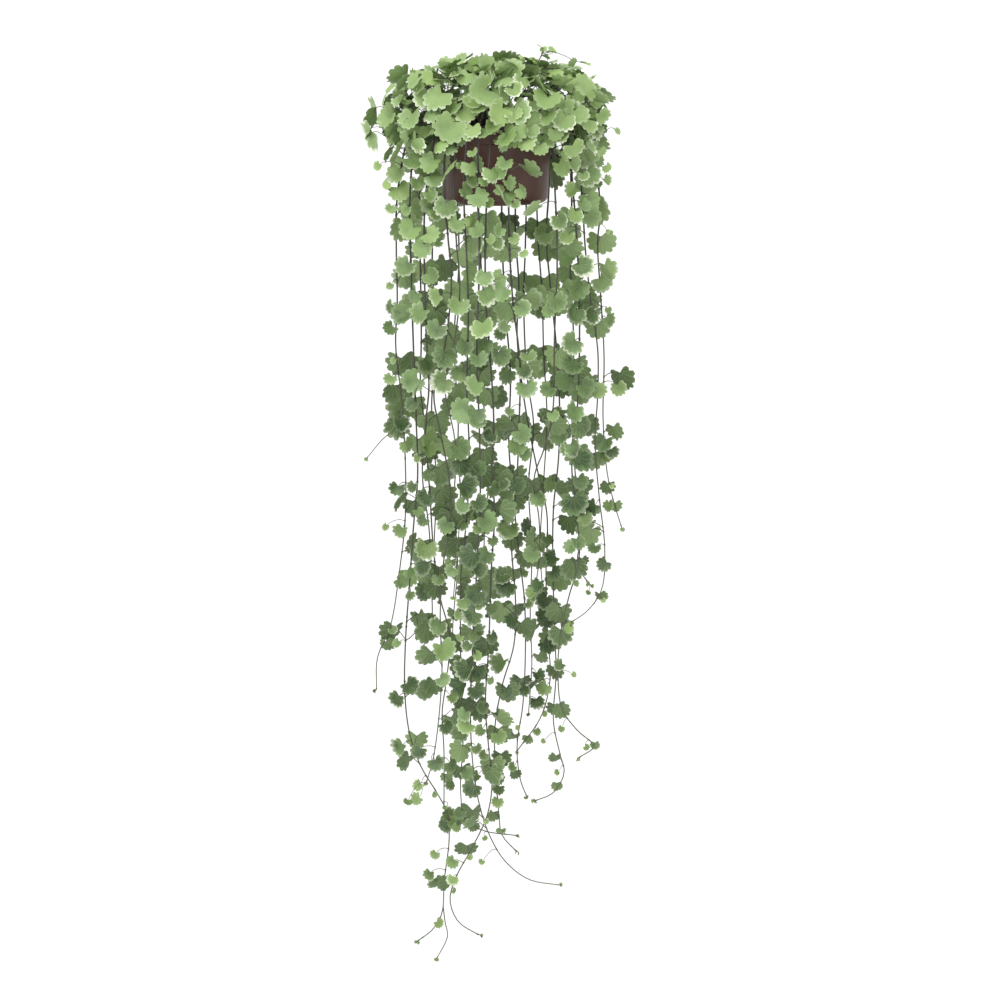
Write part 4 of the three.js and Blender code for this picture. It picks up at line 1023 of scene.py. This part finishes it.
# One socket of a node tree; a sum or product of two of them adds its Math node.
class Wire:
    def __init__(self, tree, socket=None):
        self.tree = tree
        self.socket = socket

    def node(self, kind, settings=None, inputs=None, out=0):
        made = self.tree.nodes.new(kind)
        for name, value in (settings or {}).items():
            if name == "stops":
                while len(made.color_ramp.elements) < len(value):
                    made.color_ramp.elements.new(0.5)
                for stop, (place, colour) in zip(made.color_ramp.elements, value):
                    stop.position = place
                    stop.color = colour
            else:
                setattr(made, name, value)
        for key, value in (inputs or {}).items():
            if isinstance(value, Wire):
                self.tree.links.new(value.socket, made.inputs[key])
            else:
                made.inputs[key].default_value = value
        return Wire(self.tree, made.outputs[out])

    def math(self, operation, *others, clamp=False):
        settings = {"operation": operation, "use_clamp": clamp}
        return self.node("ShaderNodeMath", settings, dict(enumerate((self, *others))))

    def __add__(self, other):
        return self.math("ADD", other)

    def __mul__(self, other):
        return self.math("MULTIPLY", other)

    def __sub__(self, other):
        return self.math("SUBTRACT", other)

    def __rsub__(self, other):
        return self.node("ShaderNodeMath", {"operation": "SUBTRACT"}, {0: other, 1: self})

    __radd__ = __add__
    __rmul__ = __mul__

    def fade(self, low, high, start=0.0, end=1.0):
        values = {0: self, 1: low, 2: high, 3: start, 4: end}
        return self.node("ShaderNodeMapRange", {"interpolation_type": "SMOOTHSTEP"}, values)

    def tint(self, first, second):
        # a colour between two, this wire being the share of the second
        settings = {"data_type": "RGBA", "clamp_factor": True}
        return self.node("ShaderNodeMix", settings, {0: self, 6: first, 7: second}, 2)

    def parts(self):
        split = self.node("ShaderNodeSeparateXYZ", None, {0: self})
        outs = split.socket.node.outputs
        return [Wire(self.tree, outs[k]) for k in range(3)]


def colour(red, green, blue):
    # a colour given as on a screen, 0 to 255
    def linear(c):
        c = c / 255
        return c / 12.92 if c <= 0.04045 else ((c + 0.055) / 1.055) ** 2.4
    return (linear(red), linear(green), linear(blue), 1.0)


def newMaterial(name, roughness, level=0.5):
    material = bpy.data.materials.new(name)
    material.use_nodes = True
    tree = material.node_tree
    shader = tree.nodes["Principled BSDF"]
    shader.inputs["Roughness"].default_value = roughness
    shader.inputs["Specular IOR Level"].default_value = level
    return material, Wire(tree), shader


def join(shader, name, wire):
    wire.tree.links.new(wire.socket, shader.inputs[name])


def objectPlace(start):
    return start.node("ShaderNodeTexCoord", None, None, 3)


def attribute(start, name):
    return start.node("ShaderNodeAttribute", {"attribute_name": name}, None, 2)


def noise(start, place, scale, detail=2.0, rough=0.5):
    values = {"Vector": place, "Scale": scale, "Detail": detail, "Roughness": rough}
    return start.node("ShaderNodeTexNoise", None, values)


# under is the underside's own pale grey-green, painted lighter and yellower as painted light shining
# through the blade
leafLook = {
    "sage": colour(122, 150, 94), "olive": colour(36, 63, 21), "young": colour(160, 188, 108),
    "cream": colour(234, 240, 216), "under": colour(140, 166, 106), "rib": colour(160, 184, 122),
    "ribTurn": 30, "ribWidth": 0.016, "margin": 0.72, "blotch": 0.5,
}


def leafMaterial():
    look = leafLook
    material, start, shader = newMaterial("ivy_leaf", 0.45, 0.5)
    place = objectPlace(start)
    u, v = start.node("ShaderNodeUVMap", {"uv_map": "leafPlane"}).parts()[:2]
    under = u.math("GREATER_THAN", 1.75)
    x = u - 0.5 - under * 2.0
    y = v - 0.5
    reach = (x * x + y * y).math("SQRT")
    turn = y.math("ARCTAN2", x)
    ribGap = turn.math("PINGPONG", look["ribTurn"] / 2 * degree) * reach
    # ribs run where the triangle wave is at its foot, one to each tooth
    ribs = ribGap.fade(look["ribWidth"] * 0.35, look["ribWidth"], 1.0, 0.0) * reach.fade(0.02, 0.12)
    net = start.node("ShaderNodeTexVoronoi", {"feature": "DISTANCE_TO_EDGE"},
                     {"Vector": place, "Scale": 380.0})
    puff = net.fade(0.0, 0.22)
    mottle = noise(start, place, 70.0, 3.0)
    fine = noise(start, place, 260.0, 3.0, 0.6)
    tone = attribute(start, "tone")
    age = attribute(start, "age")
    edge = attribute(start, "edge")

    # tone is random leaf tone plus painted shade: leaves low down are painted darker olive
    depth = tone + (mottle - 0.5) * 1.2 + (0.45 - edge) * 0.4
    green = depth.math("ADD", 0.0, clamp=True).tint(look["sage"], look["olive"])
    green = (age + (fine - 0.5) * 0.2).math("ADD", 0.0, clamp=True).tint(green, look["young"])
    green = (ribs * 0.2 + puff * -0.06 + 0.06).tint(green, look["rib"])
    rimShare = edge + (mottle - 0.5) * look["blotch"] * 1.6 + (fine - 0.5) * 0.16
    cream = rimShare.fade(look["margin"], look["margin"] + 0.28)
    pale = attribute(start, "pale")
    top = (cream * pale).tint(green, look["cream"])
    # the underside colour holds painted light shining through the blade, and tone's painted shade
    below = (cream * pale * 0.4 + ribs * 0.14).tint(
        (tone * 0.7).tint(look["under"], look["olive"]), look["cream"])
    join(shader, "Base Color", under.tint(top, below))
    join(shader, "Roughness", 0.36 + 0.16 * fine + 0.16 * under)
    height = puff * 0.35 - ribs * 1.0 + under * (ribs * 2.0 - puff * 0.5) + fine * 0.25
    bump = start.node("ShaderNodeBump", None, {"Strength": 0.55, "Distance": 0.0004, "Height": height})
    join(shader, "Normal", bump)
    return material


stalkLook = {"wood": colour(56, 56, 52), "plum": colour(70, 60, 66), "green": colour(84, 90, 66)}


def stalkMaterial():
    look = stalkLook
    material, start, shader = newMaterial("ivy_stalk", 0.5, 0.4)
    place = objectPlace(start)
    young = attribute(start, "young")
    patch = noise(start, place, 45.0, 3.0)
    grain = noise(start, place, 700.0, 2.0)
    old = patch.fade(0.35, 0.65).tint(look["wood"], look["plum"])
    share = (young + (patch - 0.5) * 0.7).math("ADD", 0.0, clamp=True)
    join(shader, "Base Color", share.tint(old, look["green"]))
    join(shader, "Roughness", 0.42 + 0.2 * grain)
    bump = start.node("ShaderNodeBump", None, {"Strength": 0.4, "Distance": 0.0002, "Height": grain})
    join(shader, "Normal", bump)
    return material


# Every shoot is grown by one tree: tubes along the stalk lines and a blade at each seat.
def shootTree(leafCollection, leafFinish, stalkFinish):
    tree = bpy.data.node_groups.new("growShoot", "GeometryNodeTree")
    start = Wire(tree)
    sockets = {}
    for name, kind, value in (("Shoot", "NodeSocketGeometry", None),
                              ("Blade size", "NodeSocketFloat", 1.0),
                              ("Stalk size", "NodeSocketFloat", 1.0),
                              ("Sway", "NodeSocketFloat", 0.06), ("Seed", "NodeSocketInt", 5)):
        made = tree.interface.new_socket(name, in_out="INPUT", socket_type=kind)
        if value is not None:
            made.default_value = value
        sockets[name] = made.identifier
    tree.interface.new_socket("Shoot", in_out="OUTPUT", socket_type="NodeSocketGeometry")
    given = tree.nodes.new("NodeGroupInput")
    wires = {name: Wire(tree, given.outputs[name]) for name in sockets}

    def stored(name, kind, out=0):
        return start.node("GeometryNodeInputNamedAttribute", {"data_type": kind}, {"Name": name}, out)

    ring = start.node("GeometryNodeCurvePrimitiveCircle", None, {"Resolution": 6, "Radius": 1.0})
    lines = start.node("GeometryNodeMeshToCurve", None, {"Mesh": wires["Shoot"]})
    thick = stored("thick", "FLOAT") * wires["Stalk size"]
    tubes = start.node("GeometryNodeCurveToMesh", None, {
        "Curve": lines, "Profile Curve": ring, "Scale": thick, "Fill Caps": True})
    tubes = start.node("GeometryNodeSetShadeSmooth", None, {"Geometry": tubes, "Shade Smooth": True})
    tubes = start.node("GeometryNodeSetMaterial", None, {"Geometry": tubes, "Material": stalkFinish})

    kinds = start.node("GeometryNodeCollectionInfo", None, {
        "Collection": leafCollection, "Separate Children": True, "Reset Children": True})
    pose = start.node("FunctionNodeEulerToRotation", None, {"Euler": stored("pose", "FLOAT_VECTOR")})
    blades = start.node("GeometryNodeInstanceOnPoints", None, {
        "Points": wires["Shoot"], "Selection": stored("seat", "BOOLEAN"), "Instance": kinds,
        "Pick Instance": True, "Instance Index": stored("kind", "INT"), "Rotation": pose,
        "Scale": stored("size", "FLOAT") * wires["Blade size"]})
    low = wires["Sway"] * -1.0
    sway = start.node("FunctionNodeRandomValue", {"data_type": "FLOAT_VECTOR"}, {
        0: low, 1: wires["Sway"], "Seed": wires["Seed"]})
    tilt = start.node("FunctionNodeEulerToRotation", None, {"Euler": sway})
    blades = start.node("GeometryNodeRotateInstances", None, {"Instances": blades, "Rotation": tilt})
    blades = start.node("GeometryNodeRealizeInstances", None, {"Geometry": blades})
    blades = start.node("GeometryNodeSetMaterial", None, {"Geometry": blades, "Material": leafFinish})
    whole = tree.nodes.new("GeometryNodeJoinGeometry")
    for part in (tubes, blades):
        tree.links.new(part.socket, whole.inputs[0])
    result = tree.nodes.new("NodeGroupOutput")
    tree.links.new(whole.outputs[0], result.inputs[0])
    return tree, sockets


# Radii of the stalks and the spacing of their points in millimetres; a knot is a swollen leaf node.
stalks = {"root": 1.3, "tip": 0.68, "petiole": 0.6, "neck": 0.42, "knot": 1.4, "step": 8.0}
plantLook = {
    "seed": 88, "swaySeed": 11, "bladeSize": 1.12, "stalkSize": 1.0, "sway": 0.05,
    "smallWidth": 7, "fullWidth": 16,
    # painted light and shade: leaves are painted lighter, yellower and creamier the higher they hang,
    # and darker low down
    "paintedShadeBelow": -420, "paintedLightAbove": 100,      # leaves are darker low down, mm
}


def arc(a, b, c, d, count):
    points = []
    for i in range(count + 1):
        t = i / count
        s = 1 - t
        points.append(a * s ** 3 + b * 3 * s * s * t + c * 3 * s * t * t + d * t ** 3)
    return points


def stemRun(line, knots, start):
    marks = {start, line.length}
    d = start + stalks["step"]
    while d < line.length:
        if all(abs(d - k) > 4 for k in knots):
            marks.add(d)
        d += stalks["step"]
    for k in knots:
        marks.update(m for m in (k - 2.4, k, k + 2.4) if start < m < line.length)
    points = []
    for d in sorted(marks):
        share = d / line.length
        knot = stalks["knot"] if any(abs(d - k) < 0.01 for k in knots) else 1
        thick = (stalks["root"] + (stalks["tip"] - stalks["root"]) * share) * knot
        points.append((line.pointAt(d), thick, share))
    return points


def petioleRun(root, leaf, young):
    attach, along = leaf["attach"], leaf["along"]
    run = attach - root
    reach = length(run)
    flat = np.array([run[0], run[1], 0])
    out = unit(flat / (length(flat) + 1e-6) * 0.8 + up * 0.5)
    bend = root + out * reach * 0.4
    neck = attach - along * reach * 0.22 - leaf["face"] * reach * 0.06
    points = arc(root, bend, neck, attach + along * 0.4, 4)
    strong = 0.6 + 0.4 * min(1, leaf["width"] / 24)
    thick, thin = stalks["petiole"] * strong, stalks["neck"] * strong
    return [(p, thick + (thin - thick) * i / 4, 0.55 + 0.4 * young) for i, p in enumerate(points)]


def poseOf(leaf):
    turn = Matrix([list(leaf["along"]), list(leaf["across"]), list(leaf["face"])]).transposed()
    return turn.to_euler("XYZ")


def portion(value, low, high):
    return min(1, max(0, (value - low) / (high - low)))


def leafTraits(leaf, draw):
    # which blade a leaf has, and how dark, young and cream it is; the higher a leaf hangs, the lighter,
    # yellower and creamier it is painted: painted light on top, painted shade low down
    small = 1 - portion(leaf["width"], plantLook["smallWidth"], plantLook["fullWidth"])
    # painted light from above: high runs from 0 low down to 1 on top, and lightens tone, age and pale
    high = portion(leaf["middle"][2], plantLook["paintedShadeBelow"], plantLook["paintedLightAbove"])
    tone = 0.85 - 0.9 * high + (1 - 0.6 * high) * (draw() - 0.5)
    age = min(1, small * 0.4 + 0.9 * max(0, draw() - 0.6) + 0.4 * high ** 3)
    kind = int(draw() * len(blade["shapes"]))
    pale = (0.1 + 0.75 * draw() ** 2) * (0.6 + 0.4 * high)
    return {"leaf": leaf, "kind": kind, "tone": min(1, max(0, tone)), "age": age, "pale": pale}


def shootMesh(shoot, draw):
    # stalk lines as runs of edges, and loose points where the blades sit
    runs = []
    line = shoot["line"]
    roots = sorted(nearestRun(line, leaf["root"]) for leaf in shoot["leaves"] + shoot["fine"])
    knots = [d for d, before in zip(roots, [-20] + roots) if d - before > 5 and d > 40]
    runs.append(stemRun(line, knots, soilSize["rootRun"] - 8))
    for twig in shoot["twigs"]:
        count = max(4, int(twig.length / 7))
        thick, thin = twig.radii
        runs.append([(twig.pointAt(twig.length * i / count), (thick + (thin - thick) * i / count) * 0.8,
                      0.8) for i in range(count + 1)])
    own = [line] + shoot["twigs"]
    seats = []
    for leaf in shoot["leaves"] + shoot["fine"]:
        near = min(own, key=lambda one: min(length(p - leaf["root"]) for p in one.dense))
        root = min(near.dense, key=lambda p: length(p - leaf["root"]))
        if length(root - leaf["root"]) < 0.6:
            root = leaf["root"]
        share = nearestRun(near, leaf["root"]) / near.length
        young = share if near is line and shoot["trailing"] else 0.75
        runs.append(petioleRun(root, leaf, young))
        seats.append(leafTraits(leaf, draw))
    points = [p for run in runs for p, thick, young in run] + [s["leaf"]["attach"] for s in seats]
    edges, first = [], 0
    for run in runs:
        edges += [(first + i, first + i + 1) for i in range(len(run) - 1)]
        first += len(run)
    mesh = bpy.data.meshes.new(shoot["name"] + "_lines")
    mesh.from_pydata([Vector(p * mm) for p in points], edges, [])
    tail = len(seats)

    def store(name, kind, values):
        layer = mesh.attributes.new(name, kind, "POINT")
        layer.data.foreach_set("vector" if kind == "FLOAT_VECTOR" else "value", values)

    store("thick", "FLOAT", [thick * mm for run in runs for p, thick, young in run] + [0.0] * tail)
    store("young", "FLOAT", [young for run in runs for p, thick, young in run] + [0.0] * tail)
    store("seat", "BOOLEAN", [False] * first + [True] * tail)
    store("kind", "INT", [0] * first + [s["kind"] for s in seats])
    store("size", "FLOAT", [0.0] * first + [s["leaf"]["width"] * mm for s in seats])
    for trait in ("tone", "age", "pale"):
        store(trait, "FLOAT", [0.0] * first + [s[trait] for s in seats])
    turns = [0.0] * (3 * first)
    for s in seats:
        turns += list(poseOf(s["leaf"]))
    store("pose", "FLOAT_VECTOR", turns)
    return mesh


def settle(piece):
    # the grown result as a plain mesh
    graph = bpy.context.evaluated_depsgraph_get()
    plain = bpy.data.meshes.new_from_object(piece.evaluated_get(graph),
                                            preserve_all_data_layers=True, depsgraph=graph)
    piece.modifiers.clear()
    piece.data = plain
    plain.name = piece.name
    return piece


def addObject(name, mesh):
    piece = bpy.data.objects.new(name, mesh)
    bpy.context.scene.collection.objects.link(piece)
    return piece


def addGrowth(piece, tree, values):
    grow = piece.modifiers.new("grow", "NODES")
    grow.node_group = tree
    for identifier, value in values.items():
        grow[identifier] = value
    return settle(piece)


def dropKinds(kinds):
    for one in list(kinds.objects):
        bpy.data.objects.remove(one)
    bpy.data.collections.remove(kinds)


def growPlant(shoots):
    leafFinish, stalkFinish = leafMaterial(), stalkMaterial()
    kinds = bpy.data.collections.new("bladeKinds")
    for i, shape in enumerate(blade["shapes"]):
        kinds.objects.link(bpy.data.objects.new(f"blade_{i}", makeBlade(i, shape)))
    tree, sockets = shootTree(kinds, leafFinish, stalkFinish)
    draw = seeded(plantLook["seed"])
    total = 0
    for i, shoot in enumerate(shoots):
        piece = addObject("ivy_" + shoot["name"], shootMesh(shoot, draw))
        addGrowth(piece, tree, {
            sockets["Blade size"]: plantLook["bladeSize"], sockets["Sway"]: plantLook["sway"],
            sockets["Stalk size"]: plantLook["stalkSize"], sockets["Seed"]: plantLook["swaySeed"] + i})
        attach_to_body(piece, "root")
        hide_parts(shoot["name"])
        total += sum(len(face.vertices) - 2 for face in piece.data.polygons)
    dropKinds(kinds)
    print("plant grown:", total, "triangles")


# The pot: a turned wall with a rolled rim, a foot ring and drain holes.
potLook = {
    "sides": 96, "holeSides": 20, "lip": 1.1,
    "brown": colour(74, 42, 28), "worn": colour(88, 57, 41),
}


def potProfile():
    p = potSize
    h, depth, wall = p["rimHeight"], p["depth"], p["wall"]
    inner = p["rimRadius"] - wall
    low, top, lip = p["bodyLow"], p["bodyTop"], potLook["lip"]
    curve = []

    def rounded(cx, cz, radius, first, last, count=5):
        for i in range(count + 1):
            turn = (first + (last - first) * i / count) * degree
            curve.append((cx + radius * math.cos(turn), cz + radius * math.sin(turn)))

    # outside, from the middle of the base out and up
    curve.append((0.0, -depth + p["recessDepth"]))
    curve.append((p["recess"] - 1.5, -depth + p["recessDepth"]))
    curve.append((p["recess"], -depth + 0.3))
    curve.append((p["recess"] + 0.6, -depth))
    rounded(low - p["foot"], -depth + p["foot"], p["foot"], -90, -3, 8)
    curve.append((low + (top - low) * 0.5, -depth * 0.46))
    curve.append((top - 0.1, -2.6))
    curve.append((top + 0.6, -0.6))
    rounded(p["rimRadius"] - lip, lip, lip, -90, 0)
    rounded(p["rimRadius"] - lip, h - lip, lip, 0, 90)
    rounded(inner + lip, h - lip, lip, 90, 180)
    # inside, down to the floor of the pot and back to the axis
    curve.append((inner - 0.2, 2.0))
    curve.append((top - wall, -3.0))
    curve.append((low - wall, -depth + p["foot"] + 2))
    rounded(low - p["foot"], -depth + p["foot"] + 0.8, p["foot"] - wall, -3, -90, 6)
    curve.append((0.0, -depth + wall + 0.8))
    return curve


def turnedMesh(name, curve, sides):
    work = bmesh.new()
    rings = []
    for r, z in curve:
        if r == 0:
            rings.append([work.verts.new((0, 0, z * mm))])
            continue
        rings.append([work.verts.new((r * mm * math.cos(2 * math.pi * i / sides),
                                      r * mm * math.sin(2 * math.pi * i / sides), z * mm))
                      for i in range(sides)])
    for low, high in zip(rings, rings[1:]):
        for i in range(sides):
            j = (i + 1) % sides
            if len(low) == 1:
                ring = (low[0], high[j], high[i])
            elif len(high) == 1:
                ring = (low[i], low[j], high[0])
            else:
                ring = (low[i], low[j], high[j], high[i])
            work.faces.new(ring).smooth = True
    bmesh.ops.recalc_face_normals(work, faces=work.faces)
    return meshFrom(work, name)


def potMaterial():
    look = potLook
    material, start, shader = newMaterial("pot_plastic", 0.42, 0.5)
    place = objectPlace(start)
    height = place.parts()[2]
    cloud = noise(start, place, 16.0, 4.0)
    speck = noise(start, place, 900.0, 2.0)
    scuff = noise(start, place, 120.0, 6.0, 0.7)
    rimWear = height.fade(0.017, 0.022) * scuff.fade(0.45, 0.7)
    share = cloud.fade(0.35, 0.75) * 0.30 + rimWear * 0.4 + (speck - 0.5) * 0.12
    join(shader, "Base Color", share.math("ADD", 0.0, clamp=True).tint(look["brown"], look["worn"]))
    join(shader, "Roughness", 0.36 + 0.12 * cloud + 0.10 * scuff)
    grain = speck * 0.5 + scuff * 0.5
    bump = start.node("ShaderNodeBump", None, {"Strength": 0.15, "Distance": 0.0002, "Height": grain})
    join(shader, "Normal", bump)
    return material


def makePot():
    p = potSize
    pot = addObject("pot_moulded", turnedMesh("pot_moulded", potProfile(), potLook["sides"]))
    cutters = []
    for i in range(p["drainCount"]):
        turn = 2 * math.pi * i / p["drainCount"]
        circle, hole = p["drainCircle"], p["drainRadius"] * mm
        spot = Vector((circle * math.cos(turn), circle * math.sin(turn), -p["depth"]))
        work = bmesh.new()
        bmesh.ops.create_cone(work, cap_ends=True, segments=potLook["holeSides"], radius1=hole,
                              radius2=hole, depth=14 * mm, matrix=Matrix.Translation(spot * mm))
        cutter = addObject(f"drain_{i}", meshFrom(work, "drain"))
        cutters.append(cutter)
        cut = pot.modifiers.new("drain", "BOOLEAN")
        cut.operation = "DIFFERENCE"
        cut.solver = "EXACT"
        cut.object = cutter
    settle(pot)
    for cutter in cutters:
        bpy.data.objects.remove(cutter)
    pot.data.materials.clear()
    pot.data.materials.append(potMaterial())
    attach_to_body(pot, "root")
    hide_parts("pot")
    print("pot turned:", len(pot.data.polygons), "faces")


# Potting soil: a low heap under a scatter of crumbs.
soilLook = {
    "dark": colour(46, 34, 26), "light": colour(92, 70, 50),
    "crumb": 2.2, "density": 60000.0, "floor": -69.8, "lowEdge": -64.0, "slack": 0.8, "sides": 72,
    "kinds": 4, "shapeSeed": 61, "seed": 7,
}


def soilMaterial():
    look = soilLook
    material, start, shader = newMaterial("potting_soil", 0.9, 0.2)
    place = objectPlace(start)
    lumps = noise(start, place, 220.0, 5.0, 0.65)
    fibres = noise(start, place, 900.0, 3.0, 0.7)
    share = lumps.fade(0.35, 0.7) * 0.7 + fibres.fade(0.55, 0.75) * 0.3
    join(shader, "Base Color", share.tint(look["dark"], look["light"]))
    height = lumps * 0.7 + fibres * 0.3
    bump = start.node("ShaderNodeBump", None, {"Strength": 0.8, "Distance": 0.001, "Height": height})
    join(shader, "Normal", bump)
    return material


def crumbKinds():
    kinds = bpy.data.collections.new("crumbKinds")
    draw = seeded(soilLook["shapeSeed"])
    for k in range(soilLook["kinds"]):
        work = bmesh.new()
        bmesh.ops.create_icosphere(work, subdivisions=1, radius=1)
        for vert in work.verts:
            vert.co *= 0.7 + 0.5 * draw()
            vert.co.z *= 0.75
        kinds.objects.link(bpy.data.objects.new(f"crumb_{k}", meshFrom(work, f"crumb_{k}")))
    return kinds


def soilTree(kinds, finish):
    tree = bpy.data.node_groups.new("scatterCrumbs", "GeometryNodeTree")
    start = Wire(tree)
    sockets = {}
    for name, kind in (("Heap", "NodeSocketGeometry"), ("Density", "NodeSocketFloat"),
                       ("Crumb size", "NodeSocketFloat"), ("Seed", "NodeSocketInt")):
        sockets[name] = tree.interface.new_socket(name, in_out="INPUT", socket_type=kind).identifier
    tree.interface.new_socket("Heap", in_out="OUTPUT", socket_type="NodeSocketGeometry")
    given = tree.nodes.new("NodeGroupInput")
    wires = {name: Wire(tree, given.outputs[name]) for name in sockets}
    top = start.node("GeometryNodeInputNamedAttribute", {"data_type": "BOOLEAN"}, {"Name": "top"})
    spots = start.node("GeometryNodeDistributePointsOnFaces", None, {
        "Mesh": wires["Heap"], "Selection": top, "Density": wires["Density"], "Seed": wires["Seed"]})
    sort = start.node("GeometryNodeCollectionInfo", None, {
        "Collection": kinds, "Separate Children": True, "Reset Children": True})
    pick = start.node("FunctionNodeRandomValue", {"data_type": "INT"}, {
        4: 0, 5: soilLook["kinds"] - 1, "Seed": 3}, 2)
    spin = start.node("FunctionNodeRandomValue", {"data_type": "FLOAT_VECTOR"}, {
        0: (0.0, 0.0, 0.0), 1: (6.2, 6.2, 6.2), "Seed": 4})
    turn = start.node("FunctionNodeEulerToRotation", None, {"Euler": spin})
    size = start.node("FunctionNodeRandomValue", {"data_type": "FLOAT"}, {2: 0.3, 3: 1.0, "Seed": 5}, 1)
    crumbs = start.node("GeometryNodeInstanceOnPoints", None, {
        "Points": spots, "Instance": sort, "Pick Instance": True, "Instance Index": pick,
        "Rotation": turn, "Scale": size * wires["Crumb size"]})
    crumbs = start.node("GeometryNodeRealizeInstances", None, {"Geometry": crumbs})
    crumbs = start.node("GeometryNodeSetShadeSmooth", None, {"Geometry": crumbs, "Shade Smooth": True})
    whole = tree.nodes.new("GeometryNodeJoinGeometry")
    for part in (wires["Heap"], crumbs):
        tree.links.new(part.socket, whole.inputs[0])
    done = start.node("GeometryNodeSetMaterial", None, {
        "Geometry": Wire(tree, whole.outputs[0]), "Material": finish})
    result = tree.nodes.new("NodeGroupOutput")
    tree.links.new(done.socket, result.inputs[0])
    return tree, sockets


def makeSoil():
    p = potSize
    inner = p["rimRadius"] - p["wall"] - soilSize["gap"]
    slack, floor = soilLook["slack"], soilLook["floor"]
    curve = [(inner * i / 8, soilHeight(inner * i / 8)) for i in range(9)]
    curve += [(inner - 1, 3.0), (p["bodyTop"] - p["wall"] - slack, -3.4),
              (p["bodyLow"] - p["wall"] - slack, soilLook["lowEdge"]),
              (p["bodyLow"] - p["foot"] - 0.5, floor), (0.0, floor)]
    mesh = turnedMesh("soil_crumbs", curve[::-1], soilLook["sides"])
    top = mesh.attributes.new("top", "BOOLEAN", "FACE")
    top.data.foreach_set("value", [face.normal.z > 0.5 for face in mesh.polygons])
    soil = addObject("soil_crumbs", mesh)
    kinds = crumbKinds()
    tree, sockets = soilTree(kinds, soilMaterial())
    addGrowth(soil, tree, {sockets["Density"]: soilLook["density"],
                           sockets["Crumb size"]: soilLook["crumb"] * mm,
                           sockets["Seed"]: soilLook["seed"]})
    dropKinds(kinds)
    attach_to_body(soil, "root")
    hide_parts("soil")
    print("soil heaped:", len(soil.data.polygons), "faces")


# Studio in metres: a wide pale floor under the hanging plant, an even sky and one broad soft sun.
studio = {
    "floorDrop": -1.25, "floorReach": 60.0, "pale": colour(238, 238, 238), "sky": 1.0,
    "sun": 1.6, "sunSpread": 50, "sunTurn": (48, 0, -28),
    "target": (0.0054, 0.0, -0.4326), "distance": 6.5, "elevation": 8.3, "lens": 195.0,
}


def makeFloor():
    reach = studio["floorReach"]
    work = bmesh.new()
    corners = [work.verts.new((x * reach, y * reach, studio["floorDrop"]))
               for x, y in ((-1, -1), (1, -1), (1, 1), (-1, 1))]
    work.faces.new(corners)
    floor = addObject("floor", meshFrom(work, "floor"))
    material, start, shader = newMaterial("pale_floor", 0.85, 0.1)
    cloud = noise(start, objectPlace(start), 0.8, 2.0)
    join(shader, "Base Color", (cloud * 0.03).tint(studio["pale"], colour(226, 226, 226)))
    floor.data.materials.append(material)


def makeLight():
    world = bpy.data.worlds.new("studio")
    world.use_nodes = True
    world.node_tree.nodes["Background"].inputs[0].default_value = (1.0, 1.0, 1.0, 1.0)
    world.node_tree.nodes["Background"].inputs[1].default_value = studio["sky"]
    bpy.context.scene.world = world
    lamp = bpy.data.lights.new("key", "SUN")
    lamp.energy = studio["sun"]
    lamp.angle = studio["sunSpread"] * degree
    key = bpy.data.objects.new("key", lamp)
    key.rotation_euler = [turn * degree for turn in studio["sunTurn"]]
    bpy.context.scene.collection.objects.link(key)
    bpy.context.scene.view_settings.view_transform = "Standard"


def makeCamera():
    tilt = studio["elevation"] * degree
    lens = bpy.data.cameras.new("camera")
    lens.lens = studio["lens"]
    lens.clip_end = 200.0
    lens.dof.use_dof = False
    camera = bpy.data.objects.new("camera", lens)
    away = Vector((0, -math.cos(tilt), math.sin(tilt))) * studio["distance"]
    camera.location = Vector(studio["target"]) + away
    camera.rotation_euler = (math.pi / 2 - tilt, 0, 0)
    bpy.context.scene.collection.objects.link(camera)
    bpy.context.scene.camera = camera


makeCamera()
makeLight()
makeFloor()
shoots, lines, placed = layOutPlant()
print("plant laid out:", sum(len(s["leaves"]) for s in shoots), "leaves of the solid model")
growFine(shoots, lines, placed)
print("fine growth:", sum(len(s["fine"]) for s in shoots), "more leaves")
growPlant(shoots)
makePot()
makeSoil()
